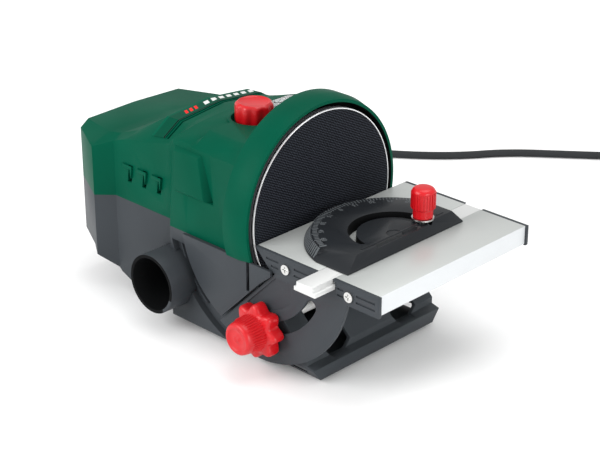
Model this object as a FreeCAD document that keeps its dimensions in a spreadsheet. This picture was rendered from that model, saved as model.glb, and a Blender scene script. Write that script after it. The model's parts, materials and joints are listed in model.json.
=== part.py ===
import FreeCAD, Part
import math
import os
import re
import Sketcher

# Bench disc sander: a motor housing with a hooded sanding disc, and a tilting work table with a mitre gauge.
# Frame: origin on the bench under the centre of the disc's sanding face, +X out of that face,
# +Y towards the far side, +Z up. Millimetres.

V = FreeCAD.Vector
doc = FreeCAD.newDocument("disc_sander")

# ---------------------------------------------------------------- driving dimensions
SIZES = {
    # stand
    "axis_height": 91, "seam_height": 70.5, "wall": 2.5, "foot_height": 2.5, "foot_radius": 7,
    "tray_thickness": 2.5, "tray_top": 6, "tray_rear": 128, "tray_half": 52,
    "ramp_front": 43, "ramp_foot_height": 17, "foot_near": 59.5, "foot_far": 60, "lip_depth": 6,
    "lip_height": 11, "lip_chamfer": 8,
    # rear part of the casing, seen from above
    "body_length": 184, "tail_half": 48.5, "bulge_from_disc": 152, "bulge_half": 65,
    "panel_rear": 141, "panel_front": 86, "panel_half": 55, "cheek_rear": 78, "cheek_half": 62.5,
    "deck_height": "=axis_height + 46", "label_rear": 107, "label_front": 94, "label_half": 50,
    "label_thickness": 0.7,
    "vent_low": "=axis_height - 6.5", "vent_high": "=axis_height + 6",
    "side_recess": 57.5, "front_wall": 6,
    # lower casing profile
    "tail_bottom": 31, "belly_rear": 158, "belly_slope_end": 138, "belly_step": 14, "belly_front": 118,
    # hood and disc
    "hood_radius": 70, "hood_rim_radius": 68, "hood_bore": 66, "hood_depth": 20, "hood_setback": 0.7,
    "bulkhead": 3, "disc_radius": 62.5, "disc_thickness": 3.5, "pad_thickness": 1.4,
    "abrasive_thickness": 1, "hub_radius": 11, "hub_length": 9, "screw_radius": 2, "screw_head": 4,
    # motor
    "motor_radius": 30, "motor_rear": 112, "motor_front": 36, "can_wall": 2, "shaft_radius": 4,
    "bearing_radius": 11, "bearing_width": 7, "armature_radius": "=motor_radius - 10", "armature_length": 36,
    "magnet_thickness": 6, "commutator_radius": 10, "commutator_length": 12, "fan_radius": 26,
    "fan_width": 8, "running_gap": 0.05, "seat_gap": 0.2,
    # dust outlet
    "port_from_disc": 78.5, "port_height": 34, "port_bore": 18, "port_radius": 20.3, "port_face": 80,
    "port_depth": 42,
    # table, with its swivel axis at its upper rear edge
    "pivot_reach": 2, "pivot_height": 82.6, "table_front": 103, "table_near": 60.5, "table_far": 76.4,
    "table_thickness": 12.5, "table_skin": 2, "cap_thickness": 2.5, "cap_overhang": 0.9,
    "slot_rear": 53.7, "slot_width": 13.4, "slot_depth": 3.5, "slot_foot_width": 17.6, "slot_foot_depth": 3,
    "table_screw_rear": 28.5, "table_screw_front": 80.7, "table_screw_drop": 7.1,
    # quadrants
    "quadrant_radius": 78, "quadrant_rear_radius": 72.5, "far_quadrant_radius": 66, "quadrant_offset": 21.5,
   
    "arc_radius": 53.7, "arc_width": 8.6, "rod_radius": 3, "rod_angle": 81.4, "arc_front_angle": 28,
    "arc_rear_angle": 85, "sector_radius": 42,
    "pocket_radius": 81, "skin_radius": 66, "pocket_floor": 58, "pocket_top": 62, "skin_gap": 0.3,
    "skin_thickness": 2,
    # mitre gauge
    "gauge_pivot": 60.4, "bar_near": 80, "bar_far": 77, "bar_gap": 0.2, "head_radius": 56,
    "head_top_radius": 51.5, "head_height": 8, "fence_reach": 10.4, "fence_lean": 4.4, "head_half": 51,
    "end_lean": 6, "guide_radius": 26.5, "guide_width": 5.4, "dish_depth": 1.6, "stud_radius": 2.5,
    "stud_angle": 90,
    # knobs
    "lock_radius": 18.5, "lock_width": 10, "lock_boss": 13.5, "lock_boss_end": 11.5, "lock_length": 24,
    "lobe_cut": 6.2, "dial_radius": 13, "dial_height": 11, "dial_from_disc": 54.7,
    "dial_side": 7.8, "dial_recess": 15.2, "dial_recess_depth": 5, "dial_lift": 0.8,
    "gauge_knob_radius": 8, "gauge_knob_height": 20.5,
    # switch
    "switch_from_disc": 46, "switch_side": 17.5, "switch_length": 20, "switch_width": 15,
    "switch_flange": 2, "rocker_length": 13, "rocker_width": 10, "cover_height": 9,
    # cord
    "cord_radius": 3, "cord_height": 48, "cord_side": 26, "relief_length": 32, "relief_radius": 6,
    "coil_mean_radius": 33, "coil_layers": 2, "coil_rows": 3,
}

# The roof runs through these cross-sections, from the tail to the hood: distance behind the disc face,
# half width at the seam, half width and height of the shoulder, half width and height of the ridge,
# and height on the centre line. The heights are measured from the disc's axis.
HEIGHTS = ("shoulder_height", "ridge_height", "crown")
SECTION_SIZES = ("at", "seam", "shoulder", "shoulder_height", "ridge", "ridge_height", "crown")
ROOF = {
    "tail": ("=body_length", 48.5, 48.5, 15, 41.5, 19.8, 21),
    "bulge": ("=bulge_from_disc", 65, 65, 14.6, 50, 21.5, 22.5),
    "waist": ("=panel_rear", 55, 55, 19, 47, 22.5, 23),
    "ramp": (126, 55, 55, 24, 44, 28, 31),
    "brow": (108, 55, 54.5, 27, 36, 39.7, 43.3),
    "panel": ("=panel_front", 55, 54, 31, 37, 41, 45),
    "cheek": ("=cheek_rear", 62.5, 57, 39, 38, 43, 46),
    "saddle": (62, 62.5, 57, 39, 38, 43, 46),
    "block": (59, 62.5, 58, 37, 43, 46, 46),
    "front": (19.5, 62.5, 58, 37, 44, 46, 46),
}
for station, row_sizes in ROOF.items():
    for what, value in zip(SECTION_SIZES, row_sizes):
        SIZES[f"{station}_{what}"] = f"=axis_height + {value}" if what in HEIGHTS else value

sheet = doc.addObject("Spreadsheet::Sheet", "dims")
for row, (alias, size) in enumerate(SIZES.items(), start=1):
    sheet.set(f"A{row}", str(size))
    sheet.setAlias(f"A{row}", alias)
doc.recompute()

FUNCTIONS = {"sin", "cos", "tan", "sqrt"}


def bind(text):
    """Turn bare size names into references to the sheet."""
    def prefixed(match):
        word = match.group()
        return word if word in FUNCTIONS else "dims." + word
    return re.sub(r"[a-z][a-z_]+", prefixed, str(text))


def size(alias):
    return float(getattr(sheet, alias))


# ---------------------------------------------------------------- building helpers
nodes = []


def keep(shape_object, node):
    """Name a finished sub-part."""
    shape_object.Label = node
    nodes.append(shape_object)
    return shape_object


def place(feature, at, turn=None):
    if turn is not None:
        feature.Placement = FreeCAD.Placement(V(), turn)
    for letter, text in zip("xyz", at):
        feature.setExpression(f"Placement.Base.{letter}", bind(text))


def outline(body, plane, points, offset="0"):
    """A closed sketch on one of the body's own planes, every corner tied to sizes in the sheet."""
    support = [f for f in body.Origin.OriginFeatures if f.Role == plane][0]
    sketch = body.newObject("Sketcher::SketchObject", "outline")
    sketch.AttachmentSupport = [(support, "")]
    sketch.MapMode = "FlatFace"
    sketch.setExpression("AttachmentOffset.Base.z", bind(offset))
    draw(sketch, points)
    return sketch


def draw(sketch, points):
    """Join the corners in a closed ring and tie each one to sizes in the sheet."""
    count = len(points)
    ring = [V(math.cos(2 * math.pi * i / count), math.sin(2 * math.pi * i / count), 0) for i in range(count)]
    for i in range(count):
        sketch.addGeometry(Part.LineSegment(ring[i], ring[(i + 1) % count]), False)
    for i in range(count):
        sketch.addConstraint(Sketcher.Constraint("Coincident", i, 2, (i + 1) % count, 1))
    for i, corner in enumerate(points):
        for kind, text in zip(("DistanceX", "DistanceY"), corner):
            index = sketch.addConstraint(Sketcher.Constraint(kind, -1, 1, i, 1, 1.0))
            sketch.setExpression(f"Constraints[{index}]", bind(text))


def prism(name, plane, points, start, length):
    """A body padded from an outline; plane is the outline's plane, start and length run along its normal."""
    body = doc.addObject("PartDesign::Body", name)
    flipped = plane == "XZ_Plane"
    sketch = outline(body, plane, points, f"-({start})" if flipped else start)
    pad = body.newObject("PartDesign::Pad", "pad")
    pad.Profile = sketch
    pad.setExpression("Length", bind(length))
    pad.Reversed = flipped
    sketch.Visibility = False
    return body


ALONG = {
    "x": FreeCAD.Rotation(V(0, 1, 0), 90),
    "y": FreeCAD.Rotation(V(1, 0, 0), -90),
    "-y": FreeCAD.Rotation(V(1, 0, 0), 90),
    "z": FreeCAD.Rotation(),
}


def turned(name, profile, at=("0", "0", "0"), along="z"):
    """A body of revolution; profile is (radius, height) corners, turned about its own axis."""
    body = doc.addObject("PartDesign::Body", name)
    sketch = outline(body, "XZ_Plane", profile)
    revolution = body.newObject("PartDesign::Revolution", "revolution")
    revolution.Profile = sketch
    revolution.ReferenceAxis = (sketch, ["V_Axis"])
    revolution.Angle = 360
    place(body, at, ALONG[along])
    return body


def block(name, low, high):
    box = doc.addObject("Part::Box", name)
    for side, a, b in zip(("Length", "Width", "Height"), low, high):
        box.setExpression(side, bind(f"({b}) - ({a})"))
    place(box, low)
    return box


def rod(name, radius, length, at, along="z", angle=360, start=0):
    cylinder = doc.addObject("Part::Cylinder", name)
    cylinder.setExpression("Radius", bind(radius))
    cylinder.setExpression("Height", bind(length))
    cylinder.setExpression("Angle", bind(angle))
    place(cylinder, at, ALONG[along].multiply(FreeCAD.Rotation(V(0, 0, 1), start)))
    return cylinder


def cut(name, base, *tools):
    result = doc.addObject("Part::Cut", name)
    result.Base = base
    result.Tool = tools[0] if len(tools) == 1 else fuse(name + "_tools", *tools)
    return result


def fuse(name, *shapes):
    result = doc.addObject("Part::MultiFuse", name)
    result.Shapes = list(shapes)
    return result


def common(name, *shapes):
    result = doc.addObject("Part::MultiCommon", name)
    result.Shapes = list(shapes)
    return result


def group(name, *shapes):
    result = doc.addObject("Part::Compound", name)
    result.Links = list(shapes)
    return result


def mirrored(points):
    """Add the reflection of an outline's near half, which is listed from rear to front."""
    return [(x, f"-({y})") for x, y in points] + [(x, y) for x, y in reversed(points)]


# ---------------------------------------------------------------- casing outlines
def mirrored_section(points):
    return [(f"-({y})", z) for y, z in points] + [(y, z) for y, z in reversed(points)]


def roof_section(name, station, side_inset, roof_inset, low, at):
    """One cross-section of the casing, standing across the X axis."""
    sketch = doc.addObject("Sketcher::SketchObject", f"{name}_{station}")
    sketch.Placement = FreeCAD.Placement(V(), FreeCAD.Rotation(V(1, 1, 1), 120))
    sketch.setExpression("Placement.Base.x", bind(at))
    half = [(f"{station}_seam - ({side_inset})", low),
            (f"{station}_shoulder - ({side_inset})", f"{station}_shoulder_height - ({roof_inset}) / 2"),
            (f"{station}_ridge - ({side_inset}) / 2", f"{station}_ridge_height - ({roof_inset})")]
    corners = [(f"-({y})", z) for y, z in half] + [("0", f"{station}_crown - ({roof_inset})")]
    draw(sketch, corners + list(reversed(half)))
    return sketch


def casing(name, side_inset, roof_inset, low, stations=tuple(ROOF), end_inset="0"):
    """The casing's body from one cross-section to the next, with straight rulings between them."""
    sections = []
    for station in stations:
        at = f"-{station}_at"
        if station == stations[0]:
            at += f" + {end_inset}"
        sections.append(roof_section(name, station, side_inset, roof_inset, low, at))
    loft = doc.addObject("Part::Loft", name)
    loft.Sections = sections
    loft.Solid = True
    loft.Ruled = True
    return loft


# ---------------------------------------------------------------- upper casing
AXIS = "axis_height"
hood = turned("hood_ring", [
    ("hub_radius + 3", "-hood_depth"), ("hood_radius", "-hood_depth"), ("hood_radius", "-hood_setback - 8"),
    ("hood_rim_radius", "-hood_setback"), ("hood_bore", "-hood_setback"),
    ("hood_bore", "-hood_depth + bulkhead"), ("hub_radius + 3", "-hood_depth + bulkhead"),
], ("0", "0", AXIS), "x")
upper_half = block("upper_half", ("-hood_depth - 1", "-hood_radius", "seam_height"),
                   ("0", "hood_radius", "axis_height + hood_radius + 1"))
hood_shell = common("hood_shell", hood, upper_half)
upper_outside = casing("upper_outside", "0", "0", "seam_height")
REAR_STATIONS = ("tail", "bulge", "waist", "ramp", "brow", "panel")
upper_inside = fuse(
    "upper_inside",
    casing("rear_inside", "wall", "wall", "seam_height - 1", REAR_STATIONS, "wall"),
    common("front_inside", casing("whole_inside", "front_wall", "wall", "seam_height - 1"),
           block("front_room", ("-cheek_at - 9", "-cheek_half", "0"),
                 ("-hood_depth", "cheek_half", "deck_height"))))
dial_seat = rod("dial_seat", "dial_recess + wall", "dial_recess_depth + wall",
                ("-dial_from_disc", "-dial_side", "deck_height - dial_recess_depth - wall"))
dial_well = rod("dial_well", "dial_recess", "dial_recess_depth + 1",
                ("-dial_from_disc", "-dial_side", "deck_height - dial_recess_depth"))
dial_hole = rod("dial_hole", "shaft_radius", "deck_height",
                ("-dial_from_disc", "-dial_side", "seam_height + 40"))
switch_hole = block(
    "switch_hole",
    ("-switch_from_disc - switch_length / 2", "switch_side - switch_width / 2", "deck_height - 8"),
    ("-switch_from_disc + switch_length / 2", "switch_side + switch_width / 2", "deck_height + 8"))
label_groove = cut(
    "label_groove",
    block("groove_slice", ("-label_front + 1.5", "-label_half", "seam_height"),
          ("-label_front + 3", "label_half", "deck_height + 13")),
    casing("groove_floor", "1.2", "1.2", "0"))

VENT_COUNT = 3
VENT_PITCH = 14.5
vents = []
hoods = []
for side in (-1, 1):
    for i in range(VENT_COUNT):
        left = f"-panel_rear + 13 + {i * VENT_PITCH}"
        slot = [(left, "vent_low"), (f"{left} + 4", "vent_low"),
                (f"{left} + 6", "vent_high"), (f"{left} + 2", "vent_high")]
        start = "-panel_half - 1" if side < 0 else "panel_half - wall - 1"
        vents.append(prism(f"vent_{side}_{i}", "XZ_Plane", slot, start, "wall + 2"))
        ledge = [(f"{left} - 3.5", "vent_high"), (f"{left} + 6", "vent_high"),
                 (f"{left} + 4.6", "vent_high - 9"), (f"{left} + 4", "vent_high - 2.5"),
                 (f"{left} - 3.5", "vent_high - 2.5")]
        start = "-panel_half - 1.4" if side < 0 else "panel_half - 0.5"
        hoods.append(prism(f"vent_ledge_{side}_{i}", "XZ_Plane", ledge, start, "1.9"))

recess = [("-76", "axis_height + 38"), ("-43", "axis_height + 38"), ("-38.2", "axis_height + 5.3"),
          ("-63.8", "axis_height + 5.3")]
recesses = [prism("near_recess", "XZ_Plane", recess, "-cheek_half - 1", "cheek_half + 1 - side_recess"),
            prism("far_recess", "XZ_Plane", recess, "side_recess", "cheek_half + 1 - side_recess")]

SCREW_PLACES = [("-148", "44"), ("-148", "-44"), ("-36", "43"), ("-36", "-43")]
upper_bosses = []
upper_pilots = []
for i, (x, y) in enumerate(SCREW_PLACES):
    top = "tail_ridge_height + 0.3" if i < 2 else "deck_height - 5"
    upper_bosses.append(rod(f"upper_boss_{i}", "5", f"{top} - seam_height", (x, y, "seam_height")))
    upper_pilots.append(rod(f"upper_pilot_{i}", "screw_radius", "16", (x, y, "seam_height - 1")))
upper_shell = cut("upper_shell", upper_outside, upper_inside)
upper_solid = fuse("upper_solid", upper_shell, hood_shell, dial_seat, *hoods, *upper_bosses)
shaft_hole = rod("shaft_hole", "hub_radius + 3", "5", ("-hood_depth - 2", "0", AXIS), "x")
keep(cut("upper_cut", upper_solid, shaft_hole, dial_well, dial_hole, switch_hole, label_groove, *vents,
         *recesses, *upper_pilots),
     "upper_housing")

# ---------------------------------------------------------------- lower casing
def mirrored(points):
    """Add the reflection of an outline's near half, which is listed from rear to front."""
    return [(x, f"-({y})") for x, y in points] + [(x, y) for x, y in reversed(points)]


def lower_plan(inset, front):
    return mirrored([
        (f"-body_length + {inset}", f"tail_half - {inset}"),
        ("-bulge_from_disc", f"bulge_half - {inset} * 1.2"),
        ("-panel_rear", f"panel_half - {inset} * 1.2"),
        (front, f"panel_half - {inset} * 1.2"),
    ])


def belly(inset):
    return [
        (f"-body_length + {inset}", "seam_height"), (f"-body_length + {inset}", f"tail_bottom + {inset}"),
        ("-belly_rear", f"tail_bottom + {inset}"), ("-belly_slope_end", f"belly_step + {inset}"),
        ("-belly_front", "tray_top"), ("0", "tray_top"), ("0", "seam_height"),
    ]


rear_lower = common("rear_lower",
                    prism("rear_lower_plan", "XY_Plane", lower_plan("0", "-panel_front"), "0", "seam_height"),
                    prism("rear_lower_belly", "XZ_Plane", belly("0"), "-bulge_half", "2 * bulge_half"))
front_plan = mirrored([
    ("-panel_front - 1", "panel_half - 1"), ("-cheek_rear", "cheek_half"), ("-hood_setback", "cheek_half"),
])
front_lower = prism("front_lower", "XY_Plane", front_plan, "tray_top", "seam_height - tray_top")
rear_cavity = common("rear_cavity",
                     prism("rear_cavity_plan", "XY_Plane", lower_plan("wall", "-cheek_rear + 1"), "0",
                           "seam_height + 1"),
                     prism("rear_cavity_belly", "XZ_Plane", belly("wall"), "-bulge_half", "2 * bulge_half"))
front_cavity = block("front_cavity", ("-cheek_rear", "-pocket_floor + wall", "tray_top - 1"),
                     ("-hood_depth", "pocket_floor - wall", "seam_height + 1"))
disc_chamber = rod("disc_chamber", "hood_bore", "hood_depth", ("-hood_depth + bulkhead", "0", AXIS), "x")
chamber_front = block("chamber_front", ("-hood_depth + bulkhead", "-pocket_floor + wall + 1", "tray_top - 1"),
                      ("1", "pocket_floor - wall - 1", "axis_height - hood_bore + 12"))
bulkhead_hole = rod("bulkhead_hole", "port_bore", "bulkhead + 2", ("-hood_depth - 1", "0", "tray_top + 24"),
                    "x")

pockets = []
skins = []
for side, sign in (("near", -1), ("far", 1)):
    outer = "pocket_floor + 10"
    low = f"-({outer})" if sign < 0 else "pocket_floor"
    high = "-pocket_floor" if sign < 0 else outer
    disc = rod(f"{side}_pocket_disc", "pocket_radius", "10", ("pivot_reach", high, "pivot_height"), "-y")
    band = block(f"{side}_pocket_band", ("-pocket_radius", low, "0"), ("10", high, "pocket_top"))
    pockets.append(common(f"{side}_pocket", disc, band))
    skin_low = ("-(table_near + cap_thickness + skin_gap + skin_thickness)" if sign < 0
                else "table_near + cap_thickness + skin_gap")
    skin_plate = rod(f"{side}_skin_disc", "skin_radius", "skin_thickness",
                     ("pivot_reach", f"{skin_low} + skin_thickness", "pivot_height"), "-y")
    edge = "quadrant_offset * sqrt(2)"
    line_foot = f"pivot_reach + {edge} - pivot_height - 1.5"
    if sign < 0:
        front = [(f"{line_foot} + pocket_top - 3", "pocket_top - 3"), ("pivot_reach + 15", "pocket_top + 5"),
                 ("pivot_reach + 15", "seam_height")]
    else:
        front = [("-hood_setback", f"-hood_setback - ({line_foot})"), ("-hood_setback", "seam_height")]
    skin_shape = prism(f"{side}_skin_shape", "XZ_Plane", [
        ("-skin_radius", "seam_height"), ("-skin_radius", "0"), (line_foot, "0"), *front,
    ], skin_low, "skin_thickness")
    skin_band = block(f"{side}_skin_band",
                      ("-skin_radius + 7", "-(table_near + cap_thickness + skin_gap + skin_thickness)"
                       if sign < 0
                       else "pocket_floor - wall", "pocket_top"),
                      ("-hood_setback", "-pocket_floor + wall" if sign < 0 else
                       "table_near + cap_thickness + skin_gap + skin_thickness", "seam_height"))
    skins += [common(f"{side}_skin", skin_plate, skin_shape), skin_band]

lower_bosses = []
lower_holes = []
for i, (x, y) in enumerate(SCREW_PLACES):
    foot = "tail_bottom - 8" if i < 2 else "tray_top"
    lower_bosses.append(rod(f"lower_boss_{i}", "5", f"seam_height - ({foot})", (x, y, foot)))
    lower_holes.append(rod(f"lower_hole_{i}", "screw_radius + 0.3", "seam_height", (x, y, foot)))
    lower_holes.append(rod(f"lower_head_hole_{i}", "screw_head + 0.3", "12", (x, y, f"{foot} - 1")))

cradles = []
for i, x in enumerate(("-58", "-110")):
    reach = "pocket_floor - wall + 0.5" if i == 0 else "panel_half - wall"
    cradles.append(block(f"cradle_{i}", (x, f"-({reach})", "tray_top + 34"),
                         (f"{x} + 3", reach, "seam_height")))
TRAY_SCREWS = [("-106", "30"), ("-106", "-30"), ("-27", "30"), ("-27", "-30")]
cross_ribs = [block("rear_cross_rib", ("-111", "-panel_half + wall", "tray_top"),
                    ("-101.5", "panel_half - wall", "tray_top + 12")),
              block("front_cross_rib", ("-38", "-pocket_floor + wall - 0.5", "tray_top"),
                    ("-hood_depth", "pocket_floor - wall + 0.5", "tray_top + 12"))]
lower_holes += [rod(f"tray_pilot_{i}", "screw_radius - 0.3", "11", (x, y, "tray_top - 1"))
                for i, (x, y) in enumerate(TRAY_SCREWS)]
relief_hole = rod("relief_hole", "relief_radius + 0.05", "wall + 4",
                  ("-body_length - 2", "cord_side", "cord_height"), "x")
motor_bed = rod("motor_bed", "motor_radius + seat_gap", "motor_rear - motor_front + 6",
                ("-motor_rear - 4", "0", AXIS), "x")
port_passage = rod("port_passage", "port_radius + seat_gap", "port_depth + 2",
                   ("-port_from_disc", "-port_face - 1", "port_height"), "y")
rod_hole = rod("rod_hole", "rod_radius + 0.3", "160",
               ("pivot_reach + arc_radius * cos(rod_angle)", "-80",
                "pivot_height - arc_radius * sin(rod_angle)"), "y")
front_slot = block("front_slot", ("-hood_setback - 3.5", "-pocket_floor - 12", "seam_height - 20"),
                   ("-hood_setback - 0.8", "-pocket_floor - 3", "seam_height + 1"))
lower_shell = cut("lower_shell", fuse("lower_outside", rear_lower, front_lower), rear_cavity, front_cavity,
                  disc_chamber, chamber_front, bulkhead_hole, *pockets)
lower_solid = fuse("lower_solid", lower_shell, *skins, *lower_bosses, *cradles, *cross_ribs)
keep(cut("lower_cut", lower_solid, disc_chamber, motor_bed, port_passage, relief_hole, *lower_holes,
         front_slot), "lower_housing")

# ---------------------------------------------------------------- base tray and feet
half = "tray_half"
ramp_back = "pivot_reach + 1"
ramp_drop = "ramp_front + ramp_foot_height"
tray_floor = block("tray_floor", ("-tray_rear", f"-{half}", "foot_height"),
                   ("ramp_front", half, "foot_height + tray_thickness"))
tray_deck = block("tray_deck", ("-tray_rear", f"-{half}", "foot_height"), ("0", half, "tray_top"))
ramp_outer = prism("ramp_outer", "XZ_Plane", [
    (ramp_back, "foot_height"), ("ramp_front + lip_depth", "foot_height"),
    ("ramp_front + lip_depth", "lip_height"), ("ramp_front", "lip_height + 1.5"),
    ("ramp_front", "ramp_foot_height"),
    (ramp_back, f"{ramp_drop} - pivot_reach - 1"),
], "-foot_near", "foot_near + foot_far")
ramp_inner = prism("ramp_inner", "XZ_Plane", [
    (f"{ramp_back} - 1", "foot_height + tray_thickness"),
    ("ramp_front - wall", "foot_height + tray_thickness"),
    ("ramp_front - wall", "ramp_foot_height - wall * 0.4"),
    (f"{ramp_back} - 1", f"{ramp_drop} - pivot_reach - wall * 1.41"),
], "-foot_near + wall", "foot_near + foot_far - 2 * wall")
ramp_section = prism("ramp_section", "YZ_Plane", [
    ("-foot_near + lip_chamfer", "0"), ("-foot_near", "foot_height + lip_chamfer"),
    ("-foot_near", "axis_height"),
    ("foot_far", "axis_height"), ("foot_far", "foot_height + lip_chamfer"), ("foot_far - lip_chamfer", "0"),
], "0", "ramp_front + lip_depth + 1")
ramp = common("ramp", cut("ramp_shell", ramp_outer, ramp_inner), ramp_section)
ramp_windows = []
for sign in (-1, 1):
    half_window = [("foot_far - 22", "ramp_foot_height + 28"), ("foot_far - 17", "ramp_foot_height + 23"),
                   ("foot_far - 17", "lip_height + 6"), ("foot_far - 22", "lip_height + 0.5"),
                   ("foot_far - 35", "lip_height + 0.5"), ("foot_far - 40", "lip_height + 6"),
                   ("foot_far - 40", "ramp_foot_height + 23"), ("foot_far - 35", "ramp_foot_height + 28")]
    ramp_windows.append(prism(f"ramp_window_{sign}", "YZ_Plane",
                              [(f"{sign} * ({y})", z) for y, z in half_window],
                              "pivot_reach + 2", "ramp_front"))
tray_rod_hole = rod("tray_rod_hole", "rod_radius + 0.3", "160",
                    ("pivot_reach + arc_radius * cos(rod_angle)", "-80",
                     "pivot_height - arc_radius * sin(rod_angle)"), "y")
FOOT_PLACES = [("-119", "42"), ("-119", "-42"), ("34", "40"), ("34", "-40")]
feet = []
foot_holes = []
for i, (x, y) in enumerate(FOOT_PLACES):
    foot_holes.append(rod(f"foot_hole_{i}", "2.1", "8", (x, y, "foot_height - 1")))
    pad = rod(f"foot_pad_{i}", "foot_radius", "foot_height", (x, y, "0"))
    peg = rod(f"foot_peg_{i}", "2", "foot_height + tray_thickness", (x, y, "0"))
    feet.append(fuse(f"foot_{i}", pad, peg))
tray_holes = []
tray_screws = []
for i, (x, y) in enumerate(TRAY_SCREWS):
    tray_holes.append(rod(f"tray_hole_{i}", "screw_radius + 0.3", "8", (x, y, "foot_height - 1")))
    tray_holes.append(rod(f"tray_sink_{i}", "screw_head + 0.3", "2.2", (x, y, "foot_height - 1")))
    head = rod(f"tray_screw_head_{i}", "screw_head", "1.2", (x, y, "foot_height"))
    tray_screws.append(fuse(f"tray_screw_{i}", head,
                            rod(f"tray_screw_shank_{i}", "screw_radius - 0.3", "12", (x, y, "foot_height"))))
keep(group("tray_screw_group", *tray_screws), "tray_screws")
keep(cut("tray_cut", fuse("tray_solid", tray_floor, tray_deck, ramp), *ramp_windows, tray_rod_hole,
         *foot_holes, *tray_holes),
     "base_tray")
keep(group("feet_group", *feet), "rubber_feet")

# ---------------------------------------------------------------- dust outlet
outlet = rod("outlet_tube", "port_radius", "port_depth", ("-port_from_disc", "-port_face", "port_height"),
             "y")
outlet_bore = rod("outlet_bore", "port_bore", "27", ("-port_from_disc", "-port_face - 1", "port_height"), "y")
outlet_throat = rod("outlet_throat", "port_bore - 2", "port_depth - 2",
                    ("-port_from_disc", "-port_face - 1", "port_height"), "y")
outlet_side = block("outlet_side", ("-port_from_disc", "-port_face + 29", "port_height - 9"),
                    ("-port_from_disc + 30", "-port_face + port_depth - 3", "port_height + 9"))
keep(cut("outlet_cut", outlet, outlet_bore, outlet_throat, outlet_side), "dust_outlet")

# ---------------------------------------------------------------- motor
can = cut("can_cut",
          rod("can_outer", "motor_radius", "motor_rear - motor_front", ("-motor_rear", "0", AXIS), "x"),
          rod("can_inner", "motor_radius - can_wall", "motor_rear - motor_front - can_wall",
              ("-motor_rear - 1", "0", AXIS), "x"),
          rod("can_nose", "bearing_radius + 0.02", "20", ("-motor_front - 10", "0", AXIS), "x"))
can_boss = cut("can_boss", rod("can_boss_outer", "bearing_radius + can_wall", "bearing_width",
                               ("-motor_front - bearing_width", "0", AXIS), "x"),
               rod("can_boss_hole", "bearing_radius + 0.02", "20", ("-motor_front - 10", "0", AXIS), "x"))
keep(fuse("can_fused", can, can_boss), "motor_can")
cap_x = "-motor_rear - 3"
cap = cut("cap_cut", fuse("cap_solid", rod("cap_plate", "motor_radius", "3", (cap_x, "0", AXIS), "x"),
                          rod("cap_boss", "bearing_radius + can_wall", "bearing_width + 3",
                              (cap_x, "0", AXIS), "x")),
          rod("cap_bearing_hole", "bearing_radius + 0.02", "bearing_width + 1",
              (f"{cap_x} + 3", "0", AXIS), "x"),
          rod("cap_hole", "shaft_radius + 1", "12", (f"{cap_x} - 1", "0", AXIS), "x"))
keep(cap, "motor_end_cap")
for node, x in (("front_bearing", "-motor_front - bearing_width"), ("rear_bearing", f"{cap_x} + 3")):
    ring = cut(node + "_ring", rod(node + "_outer", "bearing_radius", "bearing_width", (x, "0", AXIS), "x"),
               rod(node + "_inner", "shaft_radius + running_gap", "bearing_width + 2",
                   (f"{x} - 1", "0", AXIS), "x"))
    keep(ring, node)
magnet_out = "motor_radius - can_wall - 0.1"
magnets = []
for i, start in enumerate((30, 210)):
    outer = rod(f"magnet_outer_{i}", magnet_out, "armature_length + 4",
                ("-motor_front - 12 - armature_length - 2", "0", AXIS), "x", "120", start)
    inner = rod(f"magnet_inner_{i}", f"{magnet_out} - magnet_thickness", "armature_length + 8",
                ("-motor_front - 12 - armature_length - 4", "0", AXIS), "x")
    magnets.append(cut(f"magnet_{i}", outer, inner))
keep(group("magnet_group", *magnets), "magnets")
keep(rod("shaft", "shaft_radius", "motor_rear + 2 - 7", ("-motor_rear - 2", "0", AXIS), "x"), "motor_shaft")
armature_x = "-motor_front - 12 - armature_length"
keep(cut("armature_cut", rod("armature_core", "armature_radius", "armature_length", (armature_x, "0", AXIS),
                             "x"),
         rod("armature_bore", "shaft_radius", "armature_length + 2", (f"{armature_x} - 1", "0", AXIS), "x")),
     "armature")
commutator_x = f"{armature_x} - 3 - commutator_length"
keep(cut("commutator_cut",
         rod("commutator_core", "commutator_radius", "commutator_length", (commutator_x, "0", AXIS), "x"),
         rod("commutator_bore", "shaft_radius", "commutator_length + 2", (f"{commutator_x} - 1", "0", AXIS),
             "x")),
     "commutator")
brushes = []
holders = []
for i, sign in enumerate((1, -1)):
    inner, outer = "commutator_radius + 0.3", "commutator_radius + 11"
    low, high = (inner, outer) if sign > 0 else (f"-({outer})", f"-({inner})")
    brush = block(f"brush_{i}", (f"{commutator_x} + 4", low, f"{AXIS} - 2.5"),
                  (f"{commutator_x} + 9", high, f"{AXIS} + 2.5"))
    inner, outer = "commutator_radius + 2", "motor_radius - can_wall - 0.5"
    low, high = (inner, outer) if sign > 0 else (f"-({outer})", f"-({inner})")
    holder = cut(f"holder_{i}", block(f"holder_body_{i}", (f"{commutator_x} + 2.5", low, f"{AXIS} - 4"),
                                      (f"{commutator_x} + 10.5", high, f"{AXIS} + 4")),
                 block(f"holder_bore_{i}", (f"{commutator_x} + 3.9", "-motor_radius", f"{AXIS} - 2.6"),
                       (f"{commutator_x} + 9.1", "motor_radius", f"{AXIS} + 2.6")))
    brushes.append(brush)
    holders.append(holder)
keep(group("brush_group", *brushes), "carbon_brushes")
keep(group("holder_group", *holders), "brush_holders")

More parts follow.
